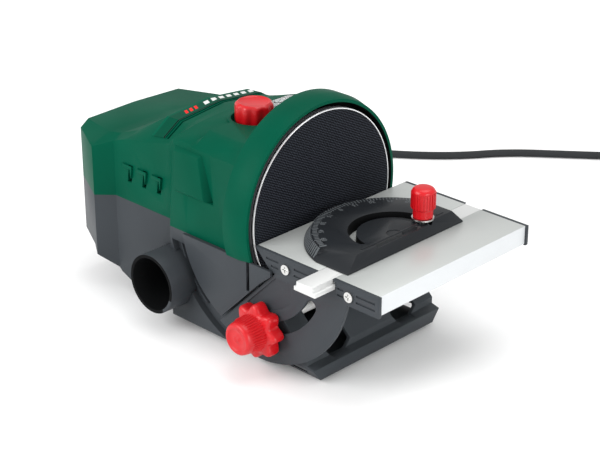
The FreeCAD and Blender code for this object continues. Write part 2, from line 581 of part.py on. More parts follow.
FAN_BLADES = 7
fan_x = "-hood_depth - 4 - fan_width"
fan_hub = rod("fan_hub", "8", "fan_width", (fan_x, "0", AXIS), "x")
fan_plate = rod("fan_plate", "fan_radius", "1.6", (fan_x, "0", AXIS), "x")
blades = []
for i in range(FAN_BLADES):
    blade = block(f"fan_blade_{i}", ("0", "0", "0"), ("fan_radius - 7.5", "1.6", "fan_width"))
    blade.Placement = FreeCAD.Placement(V(),
                                        ALONG["x"].multiply(FreeCAD.Rotation(V(0, 0, 1),
                                                                             360 * i / FAN_BLADES)))
    turn = math.radians(360 * i / FAN_BLADES)
    blade.setExpression("Placement.Base.x", bind(fan_x))
    blade.setExpression("Placement.Base.y", f"{7 * math.sin(turn):.3f}")
    blade.setExpression("Placement.Base.z", bind(f"{AXIS} - {7 * math.cos(turn):.3f}"))
    blades.append(blade)
keep(cut("fan_cut", fuse("fan_solid", fan_hub, fan_plate, *blades),
         rod("fan_bore", "shaft_radius", "fan_width + 2", (f"{fan_x} - 1", "0", AXIS), "x")), "cooling_fan")

# ---------------------------------------------------------------- sanding disc
disc_back = "-(abrasive_thickness + pad_thickness + disc_thickness)"
hub = turned("hub", [
    ("shaft_radius", "-hub_length"), ("hub_radius - 1", "-hub_length"), ("hub_radius", "-hub_length + 1"),
    ("hub_radius", "0"), ("shaft_radius", "0"),
], (disc_back, "0", AXIS), "x")
keep(hub, "disc_hub")
keep(turned("plate", [
    ("0", "0"), ("disc_radius - 0.8", "0"), ("disc_radius", "0.8"), ("disc_radius", "disc_thickness"),
    ("0", "disc_thickness"),
], (disc_back, "0", AXIS), "x"), "sanding_disc")
keep(turned("pad", [
    ("0", "0"), ("disc_radius - 0.2", "0"), ("disc_radius - 0.2", "pad_thickness"), ("0", "pad_thickness"),
], ("-abrasive_thickness - pad_thickness", "0", AXIS), "x"), "hook_pad")
keep(turned("sheet", [
    ("0", "0"), ("disc_radius", "0"), ("disc_radius", "abrasive_thickness - 0.3"),
    ("disc_radius - 0.3", "abrasive_thickness"), ("0", "abrasive_thickness"),
], ("-abrasive_thickness", "0", AXIS), "x"), "abrasive_sheet")

# ---------------------------------------------------------------- work table
under = "pivot_height - table_thickness"
slot_mid = "slot_rear + slot_width / 2"
table_profile = [
    ("pivot_reach", "pivot_height"), ("pivot_reach + table_thickness", under), ("table_front", under),
    ("table_front", "pivot_height"), ("slot_rear + slot_width", "pivot_height"),
    ("slot_rear + slot_width", "pivot_height - slot_depth"),
    (f"{slot_mid} + slot_foot_width / 2", "pivot_height - slot_depth"),
    (f"{slot_mid} + slot_foot_width / 2", "pivot_height - slot_depth - slot_foot_depth"),
    (f"{slot_mid} - slot_foot_width / 2", "pivot_height - slot_depth - slot_foot_depth"),
    (f"{slot_mid} - slot_foot_width / 2", "pivot_height - slot_depth"),
    ("slot_rear", "pivot_height - slot_depth"),
    ("slot_rear", "pivot_height"),
]
table = prism("table_extrusion", "XZ_Plane", table_profile, "-table_near", "table_near + table_far")
hollows = []
for i, (rear, front) in enumerate((("18", "table_screw_rear - 4"),
                                   ("table_screw_rear + 4", "slot_rear - 4.5"),
                                   ("table_screw_front + 4", "table_front - table_skin"))):
    hollows.append(block(f"table_hollow_{i}", (rear, "-table_near - 1", f"{under} + table_skin"),
                         (front, "table_far + 1", "pivot_height - table_skin")))
screw_xs = ("table_screw_rear", "table_screw_front")
table_holes = []
for i, x in enumerate(screw_xs):
    table_holes.append(rod(f"table_hole_{i}", "screw_radius - 0.3", "table_near + table_far + 20",
                           (x, "-table_near - 10", "pivot_height - table_screw_drop"), "y"))
FLANGE_SCREWS = ("slot_rear - 13", "slot_rear + 21")
for i, x in enumerate(FLANGE_SCREWS):
    table_holes.append(rod(f"table_flange_hole_{i}", "screw_radius - 0.3", "6",
                           (x, "table_near - 4", f"{under} - 1")))
keep(cut("table_cut", table, *hollows, *table_holes), "table_top")

cap_low = "pivot_height - table_thickness - cap_overhang"
cap_outline = [
    ("pivot_reach", "pivot_height"), ("pivot_reach + table_thickness + cap_overhang", cap_low),
    ("table_front + 1", cap_low), ("table_front + 1", "pivot_height"),
    ("slot_rear + slot_width + 0.3", "pivot_height"),
    ("slot_rear + slot_width + 2.4", "pivot_height - slot_depth"),
    ("slot_rear + slot_width + 2.4", "pivot_height - slot_depth - slot_foot_depth - 0.3"),
    ("slot_rear - 2.4", "pivot_height - slot_depth - slot_foot_depth - 0.3"),
    ("slot_rear - 2.4", "pivot_height - slot_depth"), ("slot_rear - 0.3", "pivot_height"),
]


def quadrant(name, radius, low, high):
    """A swivel quadrant between y = low and y = high: an arc plate with a curved clamp slot."""
    disc = rod(name + "_disc", radius, f"({high}) - ({low})", ("pivot_reach", high, "pivot_height"), "-y")
    edge = "quadrant_offset * sqrt(2)"
    wedge = prism(name + "_wedge", "XZ_Plane", [
        (f"pivot_reach + {edge} - table_thickness - cap_overhang + 0", cap_low),
        (f"pivot_reach + {edge} - pivot_height", "0"), ("table_front", "0"), ("table_front", cap_low),
    ], low, f"({high}) - ({low})")
    sweep = "arc_rear_angle - arc_front_angle"
    length = f"({high}) - ({low}) + 2"
    ring = cut(
        name + "_ring",
        rod(name + "_ring_outer", "arc_radius + arc_width / 2", length,
            ("pivot_reach", f"({high}) + 1", "pivot_height"),
            "-y", sweep, -size("arc_rear_angle")),
        rod(name + "_ring_inner", "arc_radius - arc_width / 2", f"{length} + 2",
            ("pivot_reach", f"({high}) + 2", "pivot_height"), "-y"))
    ends = [rod(f"{name}_end_{angle}", "arc_width / 2", length,
                (f"pivot_reach + arc_radius * cos({angle})", f"({high}) + 1",
                 f"pivot_height - arc_radius * sin({angle})"),
                "-y") for angle in ("arc_front_angle", "arc_rear_angle")]
    return common(name + "_plate", disc, wedge), [ring, *ends]


near_face = "-table_near - cap_thickness"
near_plate, near_slot = quadrant("near_quadrant", "quadrant_radius", near_face, "-table_near")
rear_trim = cut("quadrant_rear_trim",
                rod("rear_trim_outer", "quadrant_radius + 5", "cap_thickness + 2",
                    ("pivot_reach", "-table_near + 1", "pivot_height"), "-y", "40", -132),
                rod("rear_trim_inner", "quadrant_rear_radius", "cap_thickness + 4",
                    ("pivot_reach", "-table_near + 2", "pivot_height"), "-y"))
near_cap = prism("near_cap", "XZ_Plane", cap_outline, near_face, "cap_thickness")
sector_edge = "quadrant_offset * sqrt(2)"
sector = common("sector_recess",
                rod("sector_disc", "sector_radius", "2", ("pivot_reach", f"{near_face} + 1", "pivot_height"),
                    "-y"),
                prism("sector_shape", "XZ_Plane", [
                    (f"pivot_reach + {sector_edge} - pivot_height + 3", "0"), ("pivot_reach + 30", "0"),
                    ("pivot_reach + 30", f"{cap_low} - 3"),
                    (f"pivot_reach + {sector_edge} - 13.4", f"{cap_low} - 3"),
                ], f"{near_face} - 1", "2"))
cap_holes = [rod(f"cap_hole_{i}", "screw_radius", "10",
                 (x, "-table_near - 6", "pivot_height - table_screw_drop"), "y")
             for i, x in enumerate(screw_xs)]
grooves = []
for i, (rear, front) in enumerate((("7", "22"), ("35", "50"), ("71", "76"), ("86", "101"))):
    for j, drop in enumerate(("4.2", "8.4")):
        left = f"{rear} + {drop}" if i == 0 else rear
        grooves.append(block(f"cap_groove_{i}_{j}",
                             (left, f"{near_face} - 1", f"pivot_height - {drop} - 1.3"),
                             (front, f"{near_face} + 0.9", f"pivot_height - {drop}")))
keep(cut("near_bracket_cut", fuse("near_bracket_solid", near_cap, near_plate), *near_slot, rear_trim, sector,
         *cap_holes, *grooves),
     "near_quadrant_bracket")
keep(cut("far_cap_cut", prism("far_cap", "XZ_Plane", cap_outline, "table_far", "cap_thickness"),
         *[rod(f"far_cap_hole_{i}", "screw_radius", "10",
               (x, "table_far - 3", "pivot_height - table_screw_drop"), "y")
           for i, x in enumerate(screw_xs)]), "far_end_cap")
far_plate, far_slot = quadrant("far_quadrant", "far_quadrant_radius", "table_near",
                               "table_near + cap_thickness")
far_flange = block("far_flange", ("slot_rear - 18", "table_near - 8", f"{under} - 3"),
                   ("slot_rear + 26", "table_near + cap_thickness", under))
far_trim = block("far_trim", ("0", "0", under), ("table_front + 2", "table_far", "pivot_height + 1"))
flange_holes = [rod(f"flange_hole_{i}", "screw_radius", "12", (x, "table_near - 4", f"{under} - 6"))
                for i, x in enumerate(FLANGE_SCREWS)]
keep(group("bracket_screw_group", *[
    fuse(f"bracket_screw_{i}", rod(f"bracket_screw_head_{i}", "3.2", "1.6",
                                   (x, "table_near - 4", f"{under} - 4.6")),
         rod(f"bracket_screw_shank_{i}", "screw_radius - 0.3", "7.6",
             (x, "table_near - 4", f"{under} - 3.5")))
    for i, x in enumerate(FLANGE_SCREWS)]), "bracket_screws")
keep(cut("far_bracket_cut", fuse("far_bracket_solid", far_plate, far_flange), far_trim, *far_slot,
         *flange_holes),
     "far_quadrant_bracket")

screws = []
for i, x in enumerate(screw_xs):
    z = "pivot_height - table_screw_drop"
    for side, head_y, shank_y, way in (("near", f"{near_face} - 1.2", near_face, 1),
                                       ("far", "table_far + cap_thickness", "table_far - 9", -1)):
        head = rod(f"{side}_screw_head_{i}", "3.3", "1.2", (x, head_y, z), "y")
        shank = rod(f"{side}_screw_shank_{i}", "screw_radius - 0.3", "cap_thickness + 9", (x, shank_y, z),
                    "y")
        recess_y = f"{near_face} - 2" if way > 0 else "table_far + cap_thickness + 0.4"
        cross = [block(f"{side}_cross_{i}_{j}", (f"{x} - {a}", recess_y, f"{z} - {b}"),
                       (f"{x} + {a}", f"{recess_y} + 1.6", f"{z} + {b}"))
                       for j, (a, b) in enumerate(((2, 0.4), (0.4, 2)))]
        screws.append(cut(f"{side}_screw_{i}", fuse(f"{side}_screw_solid_{i}", head, shank), *cross))
keep(group("table_screw_group", *screws), "table_screws")

# ---------------------------------------------------------------- clamp rod and lock knob
rod_x = "pivot_reach + arc_radius * cos(rod_angle)"
rod_z = "pivot_height - arc_radius * sin(rod_angle)"
washer_y = f"{near_face} - 1"
keep(rod("clamp", "rod_radius", "table_near + table_near + cap_thickness + 22",
         (rod_x, "-table_near - cap_thickness - 10", rod_z), "y"), "clamp_rod")
keep(cut("lock_washer_cut", rod("lock_washer_disc", "8", "0.9", (rod_x, washer_y, rod_z), "y"),
         rod("lock_washer_bore", "rod_radius + running_gap", "4", (rod_x, f"{washer_y} - 1", rod_z), "y")),
     "lock_washer")
knob = turned("lock_knob_blank", [
    ("0", "0"), ("8", "0"), ("9.5", "2"), ("lock_radius - 1.5", "2.6"), ("lock_radius", "4"),
    ("lock_radius", "lock_width - 2"), ("lock_radius - 2.5", "lock_width"),
    ("lock_boss + 1", "lock_width + 1"),
    ("lock_boss", "lock_width + 2.5"), ("lock_boss_end", "lock_length - 0.8"),
    ("lock_boss_end - 0.8", "lock_length"),
    ("lock_boss_end - 2.4", "lock_length"), ("lock_boss_end - 2.8", "lock_length - 1.5"),
    ("0", "lock_length - 1.5"),
], (rod_x, f"{washer_y} - 0.1", rod_z), "-y")
scallops = [rod(f"lock_scallop_{i}", "lobe_cut", "lock_width + 2",
                (f"{rod_x} + (lock_radius + lobe_cut * 0.62) * cos({360 * (i + 0.5) / 8})", f"{washer_y} - 1",
                 f"{rod_z} + (lock_radius + lobe_cut * 0.62) * sin({360 * (i + 0.5) / 8})"), "-y")
                 for i in range(8)]
knob_bore = rod("lock_knob_bore", "rod_radius", "10.1", (rod_x, f"{washer_y} + 1", rod_z), "-y")
keep(cut("lock_knob_cut", knob, *scallops, knob_bore), "lock_knob")
far_nut = prism("clamp_nut_blank", "XZ_Plane", [
    (f"{rod_x} + 6 * cos({60 * i})", f"{rod_z} + 6 * sin({60 * i})") for i in range(6)
], "table_near + cap_thickness + 0.2", "4.5")
keep(cut("clamp_nut_cut", far_nut,
         rod("clamp_nut_bore", "rod_radius + running_gap", "12", (rod_x, "table_near", rod_z), "y")),
     "clamp_nut")

# ---------------------------------------------------------------- mitre gauge
bar_top = "pivot_height - 0.1"
bar_profile = [
    (f"{slot_mid} - slot_width / 2 + bar_gap", bar_top),
    (f"{slot_mid} - slot_width / 2 + bar_gap", "pivot_height - slot_depth - bar_gap"),
    (f"{slot_mid} - slot_foot_width / 2 + bar_gap", "pivot_height - slot_depth - bar_gap"),
    (f"{slot_mid} - slot_foot_width / 2 + bar_gap", "pivot_height - slot_depth - slot_foot_depth + bar_gap"),
    (f"{slot_mid} + slot_foot_width / 2 - bar_gap", "pivot_height - slot_depth - slot_foot_depth + bar_gap"),
    (f"{slot_mid} + slot_foot_width / 2 - bar_gap", "pivot_height - slot_depth - bar_gap"),
    (f"{slot_mid} + slot_width / 2 - bar_gap", "pivot_height - slot_depth - bar_gap"),
    (f"{slot_mid} + slot_width / 2 - bar_gap", bar_top),
]
stud_x = "gauge_pivot + guide_radius * cos(stud_angle)"
stud_y = "guide_radius * sin(stud_angle)"
bar = prism("bar", "XZ_Plane", bar_profile, "-bar_near", "bar_near + bar_far")
bar_holes = [rod("bar_pivot_hole", "stud_radius - 0.2", "9", ("gauge_pivot", "0", "pivot_height - 8.5")),
             rod("bar_stud_hole", "stud_radius - 0.2", "9", (stud_x, stud_y, "pivot_height - 8.5"))]
keep(cut("bar_cut", bar, *bar_holes), "mitre_bar")
head_base = "pivot_height + 0.15"
head_cone = turned("head_cone", [
    ("0", "0"), ("head_radius", "0"), ("head_radius", "0.8"), ("head_top_radius", "head_height"),
    ("0", "head_height"),
], ("gauge_pivot", "0", head_base))
head_fence = prism("head_fence", "XZ_Plane", [
    ("gauge_pivot - head_radius - 1", "pivot_height - 1"), ("gauge_pivot + fence_reach", "pivot_height - 1"),
    ("gauge_pivot + fence_reach", "pivot_height + 0.8"),
    ("gauge_pivot + fence_reach - fence_lean", f"{head_base} + head_height"),
    ("gauge_pivot + fence_reach - fence_lean", f"{head_base} + head_height + 1"),
    ("gauge_pivot - head_radius - 1", f"{head_base} + head_height + 1"),
], "-head_radius - 1", "2 * head_radius + 2")
head_ends = prism("head_ends", "YZ_Plane", mirrored_section([
    ("head_half + 2.8", "pivot_height - 1"), ("head_half + 2.8", "pivot_height + 0.8"),
    ("head_half + 2.8 - end_lean", f"{head_base} + head_height + 0.01"),
]), "gauge_pivot - head_radius - 1", "2 * head_radius")
guide_ring = cut("guide_ring",
                 rod("guide_outer", "guide_radius + guide_width / 2", "head_height + 3",
                     ("gauge_pivot", "0", "pivot_height - 1"), "z", "180", 82),
                 rod("guide_inner", "guide_radius - guide_width / 2", "head_height + 5",
                     ("gauge_pivot", "0", "pivot_height - 2")))
guide_ends = [rod(f"guide_end_{angle}", "guide_width / 2", "head_height + 3",
                  (f"gauge_pivot + guide_radius * cos({angle})", f"guide_radius * sin({angle})",
                   "pivot_height - 1"))
              for angle in (80, 262)]
dish = rod("head_dish", "guide_radius - guide_width / 2 + 0.4", "dish_depth + 2",
           ("gauge_pivot", "0", f"{head_base} + head_height - dish_depth"))
pivot_bore = rod("head_pivot_bore", "stud_radius + running_gap", "head_height + 3",
                 ("gauge_pivot", "0", "pivot_height - 1"))
pivot_sink = rod("head_pivot_sink", "5.2", "head_height",
                 ("gauge_pivot", "0", f"{head_base} + head_height - dish_depth - 2.6"))
keep(cut("head_cut", common("head_solid", head_cone, head_fence, head_ends), guide_ring, *guide_ends, dish,
         pivot_bore,
         pivot_sink), "mitre_head")
keep(fuse("pivot_screw_solid",
          rod("pivot_screw_shank", "stud_radius - 0.2", "6.7", ("gauge_pivot", "0", "pivot_height - 6.2")),
          rod("pivot_screw_body", "stud_radius", "head_height - dish_depth - 2.2",
              ("gauge_pivot", "0", "pivot_height")),
          rod("pivot_screw_head", "5", "2.2",
              ("gauge_pivot", "0", f"{head_base} + head_height - dish_depth - 2.5"))),
     "mitre_pivot_screw")
knob_base = f"{head_base} + head_height + 1.3"
keep(fuse("stud_solid",
          rod("stud_shank", "stud_radius - 0.2", "6.7", (stud_x, stud_y, "pivot_height - 6.2")),
          rod("stud_body", "stud_radius - 0.1", "head_height + 14", (stud_x, stud_y, "pivot_height"))),
     "mitre_stud")
keep(cut("gauge_washer_cut", rod("gauge_washer_disc", "7.2", "1",
                                 (stud_x, stud_y, f"{head_base} + head_height + 0.15")),
         rod("gauge_washer_bore", "stud_radius", "4", (stud_x, stud_y, f"{head_base} + head_height - 1"))),
     "mitre_washer")
gauge_knob = turned("gauge_knob_blank", [
    ("0", "0"), ("gauge_knob_radius - 2", "0"), ("gauge_knob_radius - 1.6", "0.5"),
    ("gauge_knob_radius - 1.6", "5.5"),
    ("gauge_knob_radius", "7"), ("gauge_knob_radius", "gauge_knob_height - 1.4"),
    ("gauge_knob_radius - 1.4", "gauge_knob_height"), ("0", "gauge_knob_height"),
], (stud_x, stud_y, knob_base))
keep(cut("gauge_knob_cut", gauge_knob,
         rod("gauge_knob_bore", "stud_radius", "14.7", (stud_x, stud_y, f"{knob_base} - 2"))), "mitre_knob")

# ---------------------------------------------------------------- dial, switch and control board
well_floor = "deck_height - dial_recess_depth"
dial_at = ("-dial_from_disc", "-dial_side", f"{well_floor} + dial_lift")
dial_top = "dial_recess_depth + dial_height - dial_lift"
dial = turned("dial_blank", [
    ("0", "0"), ("dial_radius - 1", "0"), ("dial_radius", "1"), ("dial_radius - 0.6", f"{dial_top} - 2"),
    ("dial_radius - 2.6", dial_top), ("0", dial_top),
], dial_at)
DIAL_FLATS = 8
dial_flutes = [rod(f"dial_flute_{i}", "5", "dial_height + 10",
                   (f"-dial_from_disc + (dial_radius + 4.2) * cos({360 * i / DIAL_FLATS})",
                    f"-dial_side + (dial_radius + 4.2) * sin({360 * i / DIAL_FLATS})", f"{well_floor} - 1"))
               for i in range(DIAL_FLATS)]
dial_bore = rod("dial_bore", "shaft_radius - 1", "8", ("-dial_from_disc", "-dial_side", f"{well_floor} - 1"))
keep(cut("dial_cut", dial, *dial_flutes, dial_bore), "speed_dial")
spindle_low = "deck_height - dial_recess_depth - wall - 4"
keep(rod("spindle", "shaft_radius - 1", "wall + 4 + 6.8", ("-dial_from_disc", "-dial_side", spindle_low)),
     "dial_spindle")
pot_body = rod("pot_body", "8", "6", ("-dial_from_disc", "-dial_side", f"{well_floor} - wall - 6"))
pot_hole = rod("pot_hole", "shaft_radius - 1 + running_gap", "6",
               ("-dial_from_disc", "-dial_side", f"{spindle_low} - 0.3"))
keep(cut("pot_cut", pot_body, pot_hole), "potentiometer")

mid = ("-switch_from_disc", "switch_side")


def box_about(name, half_x, half_y, low, high):
    return block(name, (f"{mid[0]} - ({half_x})", f"{mid[1]} - ({half_y})", low),
                 (f"{mid[0]} + ({half_x})", f"{mid[1]} + ({half_y})", high))


switch_body = cut(
    "switch_cut",
    fuse("switch_solid", box_about("switch_lower", "switch_length / 2 - 0.2", "switch_width / 2 - 0.2",
                                   "deck_height - 15.5", "deck_height"),
         box_about("switch_rim", "switch_length / 2 + switch_flange", "switch_width / 2 + switch_flange",
                   "deck_height", "deck_height + 1.5")),
    box_about("switch_well", "rocker_length / 2 + 0.4", "rocker_width / 2 + 0.4", "deck_height - 7",
              "deck_height + 3"))
keep(switch_body, "switch_body")
rocker_plan = [
    (f"{mid[0]} - rocker_length / 2", "deck_height - 2"), (f"{mid[0]} - 3", "deck_height - 6"),
    (f"{mid[0]} + 3", "deck_height - 6"), (f"{mid[0]} + rocker_length / 2", "deck_height - 2"),
    (f"{mid[0]} + rocker_length / 2", "deck_height + 4.6"), (f"{mid[0]} + 1", "deck_height + 2.6"),
    (f"{mid[0]} - rocker_length / 2", "deck_height + 2.9"),
]
keep(prism("rocker", "XZ_Plane", rocker_plan, f"{mid[1]} - rocker_width / 2", "rocker_width"),
     "switch_rocker")
cover_low = "deck_height + 1.7"
cover_outer = prism("cover_outer", "XZ_Plane", [
    (f"{mid[0]} - switch_length / 2 - 1.5", cover_low), (f"{mid[0]} + switch_length / 2 + 1.5", cover_low),
    (f"{mid[0]} + switch_length / 2 + 1.5", f"{cover_low} + cover_height"),
    (f"{mid[0]} - switch_length / 2 - 1.5", f"{cover_low} + 4"),
], f"{mid[1]} - switch_width / 2 - 1.5", "switch_width + 3")
cover_inner = prism("cover_inner", "XZ_Plane", [
    (f"{mid[0]} - switch_length / 2 - 0.3", f"{cover_low} - 1"),
    (f"{mid[0]} + switch_length / 2 + 0.3", f"{cover_low} - 1"),
    (f"{mid[0]} + switch_length / 2 + 0.3", f"{cover_low} + cover_height - 1.4"),
    (f"{mid[0]} - switch_length / 2 - 0.3", f"{cover_low} + 2.9"),
], f"{mid[1]} - switch_width / 2 - 0.3", "switch_width + 0.6")
keep(cut("cover_cut", cover_outer, cover_inner), "switch_cover")
board_x = ("-dial_from_disc - 26", "-dial_from_disc + 20")
keep(block("board", (board_x[0], "-36", f"{well_floor} - wall - 7.8"),
           (board_x[1], "8", f"{well_floor} - wall - 6.2")),
     "control_board")

# ---------------------------------------------------------------- label strip and screws
LABEL_STATIONS = ("ramp", "brow", "panel")
keep(cut("label_cut",
         common("label_band", casing("label_outer", "-label_thickness", "-label_thickness", "seam_height",
                                     LABEL_STATIONS),
                block("label_slice", ("-label_rear", "-label_half", "ramp_shoulder_height"),
                      ("-label_front", "label_half", "deck_height + 13"))),
         casing("label_inner", "-0.05", "-0.05", "0", LABEL_STATIONS)), "label_strip")
casing_screws = []
for i, (x, y) in enumerate(SCREW_PLACES):
    foot = "tail_bottom - 8" if i < 2 else "tray_top"
    head_top = f"{foot} + 11"
    casing_screws.append(fuse(f"casing_screw_{i}",
                              rod(f"casing_head_{i}", "screw_head", "2.5", (x, y, f"{head_top} - 2.5")),
                              rod(f"casing_shank_{i}", "screw_radius", f"seam_height + 14 - ({head_top})",
                                  (x, y, head_top))))
keep(group("casing_screw_group", *casing_screws), "casing_screws")

# ---------------------------------------------------------------- strain relief, cord and plug
ALONG["-x"] = FreeCAD.Rotation(V(0, 1, 0), -90)
relief = turned("relief_blank", [
    ("0", "-wall - 1.7"), ("relief_radius + 2", "-wall - 1.7"), ("relief_radius + 2", "-wall - 0.2"),
    ("relief_radius", "-wall - 0.2"), ("relief_radius", "0.2"), ("relief_radius + 1.6", "0.2"),
    ("relief_radius + 1.6", "2.6"), ("relief_radius", "4"), ("cord_radius + 0.9", "relief_length"),
    ("0", "relief_length"),
], ("-body_length", "cord_side", "cord_height"), "-x")
keep(relief, "strain_relief")

CORD_Z = size("cord_radius")
cord_start = V(-size("body_length") - size("relief_length"), size("cord_side"), size("cord_height"))
ROUTE = [
    cord_start,
    cord_start + V(-26, 0, 0),
    cord_start + V(-60, 10, -26),
    V(-303, 66, CORD_Z),
    V(-311, 112, CORD_Z),
    V(-292, 158, CORD_Z),
    V(-254, 197, CORD_Z),
    V(-208, 229, CORD_Z),
    V(-161, 256, CORD_Z),
    V(-123, 289, CORD_Z),
    V(-99, 324, CORD_Z),
    V(-59, 356, CORD_Z),
    V(-13.5, 399.7, CORD_Z),
]
COIL_CENTRE = V(30, 388, 0)


def tube(points, radius):
    """A pipe along straight runs joined by tangent arcs as large as the runs allow."""
    edges = []
    last = points[0]
    for before, corner, after in zip(points, points[1:], points[2:]):
        back = (before - corner).normalize()
        ahead = (after - corner).normalize()
        turn = math.pi - back.getAngle(ahead)
        reach = 0.45 * min((before - corner).Length, (after - corner).Length)
        bend = reach / math.tan(turn / 2)
        print(f"cord bend radius {bend:.0f} mm")
        enter = corner + back * reach
        leave = corner + ahead * reach
        middle = (back + ahead).normalize()
        centre = corner + middle * (bend / math.cos(turn / 2))
        edges.append(Part.LineSegment(last, enter).toShape())
        edges.append(Part.Arc(enter, centre - middle * bend, leave).toShape())
        last = leave
    edges.append(Part.LineSegment(last, points[-1]).toShape())
    path = Part.Wire(edges)
    ring = Part.Wire(Part.makeCircle(radius, points[0], points[1] - points[0]))
    pipe = path.makePipeShell([ring], True, True)
    swept = pipe.Volume / (math.pi * radius ** 2 * path.Length)
    print(f"cord tube {path.Length:.0f} mm, volume over section times length {swept:.4f}")
    return pipe


cord = doc.addObject("Part::Feature", "cord_tube")
cord.Shape = tube(ROUTE, size("cord_radius"))
keep(cord, "power_cord")
coil_half = "cord_radius * coil_rows"
coil_at = (str(COIL_CENTRE.x), str(COIL_CENTRE.y), "0")
coil = cut("coil_cut",
           rod("coil_outer", f"coil_mean_radius + {coil_half}", "2 * cord_radius * coil_layers", coil_at),
           rod("coil_inner", f"coil_mean_radius - {coil_half}", "40", (coil_at[0], coil_at[1], "-5")))
keep(coil, "cord_coil")

# the plug lies flat beside the coil, where the outer turn leaves it
leave_angle = math.radians(60)
outer_turn = size("coil_mean_radius") + size("cord_radius") * (size("coil_rows") - 1)
heading = V(math.sin(leave_angle), -math.cos(leave_angle), 0)
tail_start = COIL_CENTRE + V(math.cos(leave_angle), math.sin(leave_angle), 0) * outer_turn + heading * 24
plug = fuse(
    "plug_solid",
    turned("plug_tail", [("0", "0"), ("cord_radius + 0.8", "0"), ("5.6", "20"), ("5.6", "26"), ("0", "26")],
           ("0", "0", "7"), "x"),
    prism("plug_body", "XY_Plane", [
        ("24", "-8"), ("24", "8"), ("30", "13"), ("52", "13"), ("60", "9"),
        ("60", "-9"), ("52", "-13"), ("30", "-13"),
    ], "0.2", "13.6"),
    *[rod(f"plug_pin_{side}", "2", "19.5", ("59.5", f"{side} * 9.3", "7"), "x") for side in (-1, 1)])
plug.Placement = FreeCAD.Placement(V(tail_start.x, tail_start.y, 0),
                                   FreeCAD.Rotation(V(0, 0, 1), math.degrees(leave_angle) - 90))
keep(plug, "mains_plug")

# ---------------------------------------------------------------- build, check and write
doc.recompute()
failed = [f"{item.Label} {item.State}" for item in doc.Objects if {"Invalid", "Error"} & set(item.State)]
failed += [item.Label for item in nodes if item.Shape.isNull() or not item.Shape.isValid()]
if failed:
    raise RuntimeError("these did not build: " + ", ".join(failed))
os.makedirs("parts", exist_ok=True)
for item in nodes:
    item.Shape.exportStep(os.path.join("parts", item.Label + ".step"))
print(len(nodes), "sub-parts written")
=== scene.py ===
# %% [markdown]
# # A bench disc sander, dressed for a studio picture
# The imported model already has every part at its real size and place. This notebook gives those parts their
# finish: rounded moulding edges, grained plastic, fluted knobs, a cloth-backed abrasive, and a mains lead.
# Lengths are metres, and the frame is the model's own: +X out of the sanding face, +Z up.

# %% Load the frame
import json
import math

import bmesh
import bpy
from mathutils import Matrix, Vector


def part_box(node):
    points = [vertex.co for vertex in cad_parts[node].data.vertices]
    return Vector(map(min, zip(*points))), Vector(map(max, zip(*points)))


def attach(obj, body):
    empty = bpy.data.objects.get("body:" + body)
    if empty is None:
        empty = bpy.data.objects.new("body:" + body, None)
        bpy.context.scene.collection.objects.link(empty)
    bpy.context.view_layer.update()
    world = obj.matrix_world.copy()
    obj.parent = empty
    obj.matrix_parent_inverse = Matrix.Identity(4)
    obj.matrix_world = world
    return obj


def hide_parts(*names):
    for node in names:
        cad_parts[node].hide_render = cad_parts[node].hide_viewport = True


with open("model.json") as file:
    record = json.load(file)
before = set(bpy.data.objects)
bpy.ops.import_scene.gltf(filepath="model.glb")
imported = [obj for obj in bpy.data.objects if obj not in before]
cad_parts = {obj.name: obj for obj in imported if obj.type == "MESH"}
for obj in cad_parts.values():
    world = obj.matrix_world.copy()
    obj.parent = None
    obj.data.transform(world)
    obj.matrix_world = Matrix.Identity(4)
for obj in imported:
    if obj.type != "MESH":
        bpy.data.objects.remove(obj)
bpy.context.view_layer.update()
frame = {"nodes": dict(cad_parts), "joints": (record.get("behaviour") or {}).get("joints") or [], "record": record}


BODY_OF = {node: body for body, nodes in frame["record"]["behaviour"]["bodies"].items() for node in nodes}
JOINT_AT = {joint["name"]: Vector(joint.get("pos_m", (0, 0, 0))) for joint in frame["joints"]}
MM = 0.001

# %% [markdown]
# ## Camera, light and floor
# The camera looks down on the near front corner from about a metre away with a long lens, as a catalogue
# picture does. It stands on three axes that are worked out from two angles, so either can be changed alone.

# %% Camera
AZIMUTH = math.radians(44.29)
ELEVATION = math.radians(24.71)
CAMERA_DISTANCE = 1.063
AIM_RIGHT = -0.0151
AIM_UP = -0.0142
LENS = 99.9
CLIP_START = 0.05
disc_centre = JOINT_AT["disc_spin"]
right = Vector((math.cos(AZIMUTH), math.sin(AZIMUTH), 0))
back = Vector((math.sin(AZIMUTH) * math.cos(ELEVATION), -math.cos(AZIMUTH) * math.cos(ELEVATION),
               math.sin(ELEVATION)))
up = back.cross(right)
camera = bpy.data.objects.new("camera", bpy.data.cameras.new("camera"))
camera.data.lens = LENS
camera.data.clip_start = CLIP_START
camera.location = disc_centre + right * AIM_RIGHT + up * AIM_UP + back * CAMERA_DISTANCE
camera.rotation_euler = Matrix((right, up, back)).transposed().to_euler()
bpy.context.collection.objects.link(camera)
bpy.context.scene.camera = camera
bpy.context.scene.view_settings.view_transform = "Standard"
print("camera at", [round(v, 3) for v in camera.location])

# %% [markdown]
# A large soft box on the left lights the near side, a smaller one in front lights the disc side and the
# table's front edge, and a third above lights the tops. A pale world fills the rest, as a light tent does.

# %% Lights and world
TENT_LIGHT = 0.75


def soft_box(name, place, width, energy):
    light = bpy.data.lights.new(name, "AREA")
    light.shape = "SQUARE"
    light.size = width
    light.energy = energy
    lamp = bpy.data.objects.new(name, light)
    lamp.location = place
    lamp.rotation_euler = (disc_centre - Vector(place)).to_track_quat("-Z", "Y").to_euler()
    bpy.context.collection.objects.link(lamp)


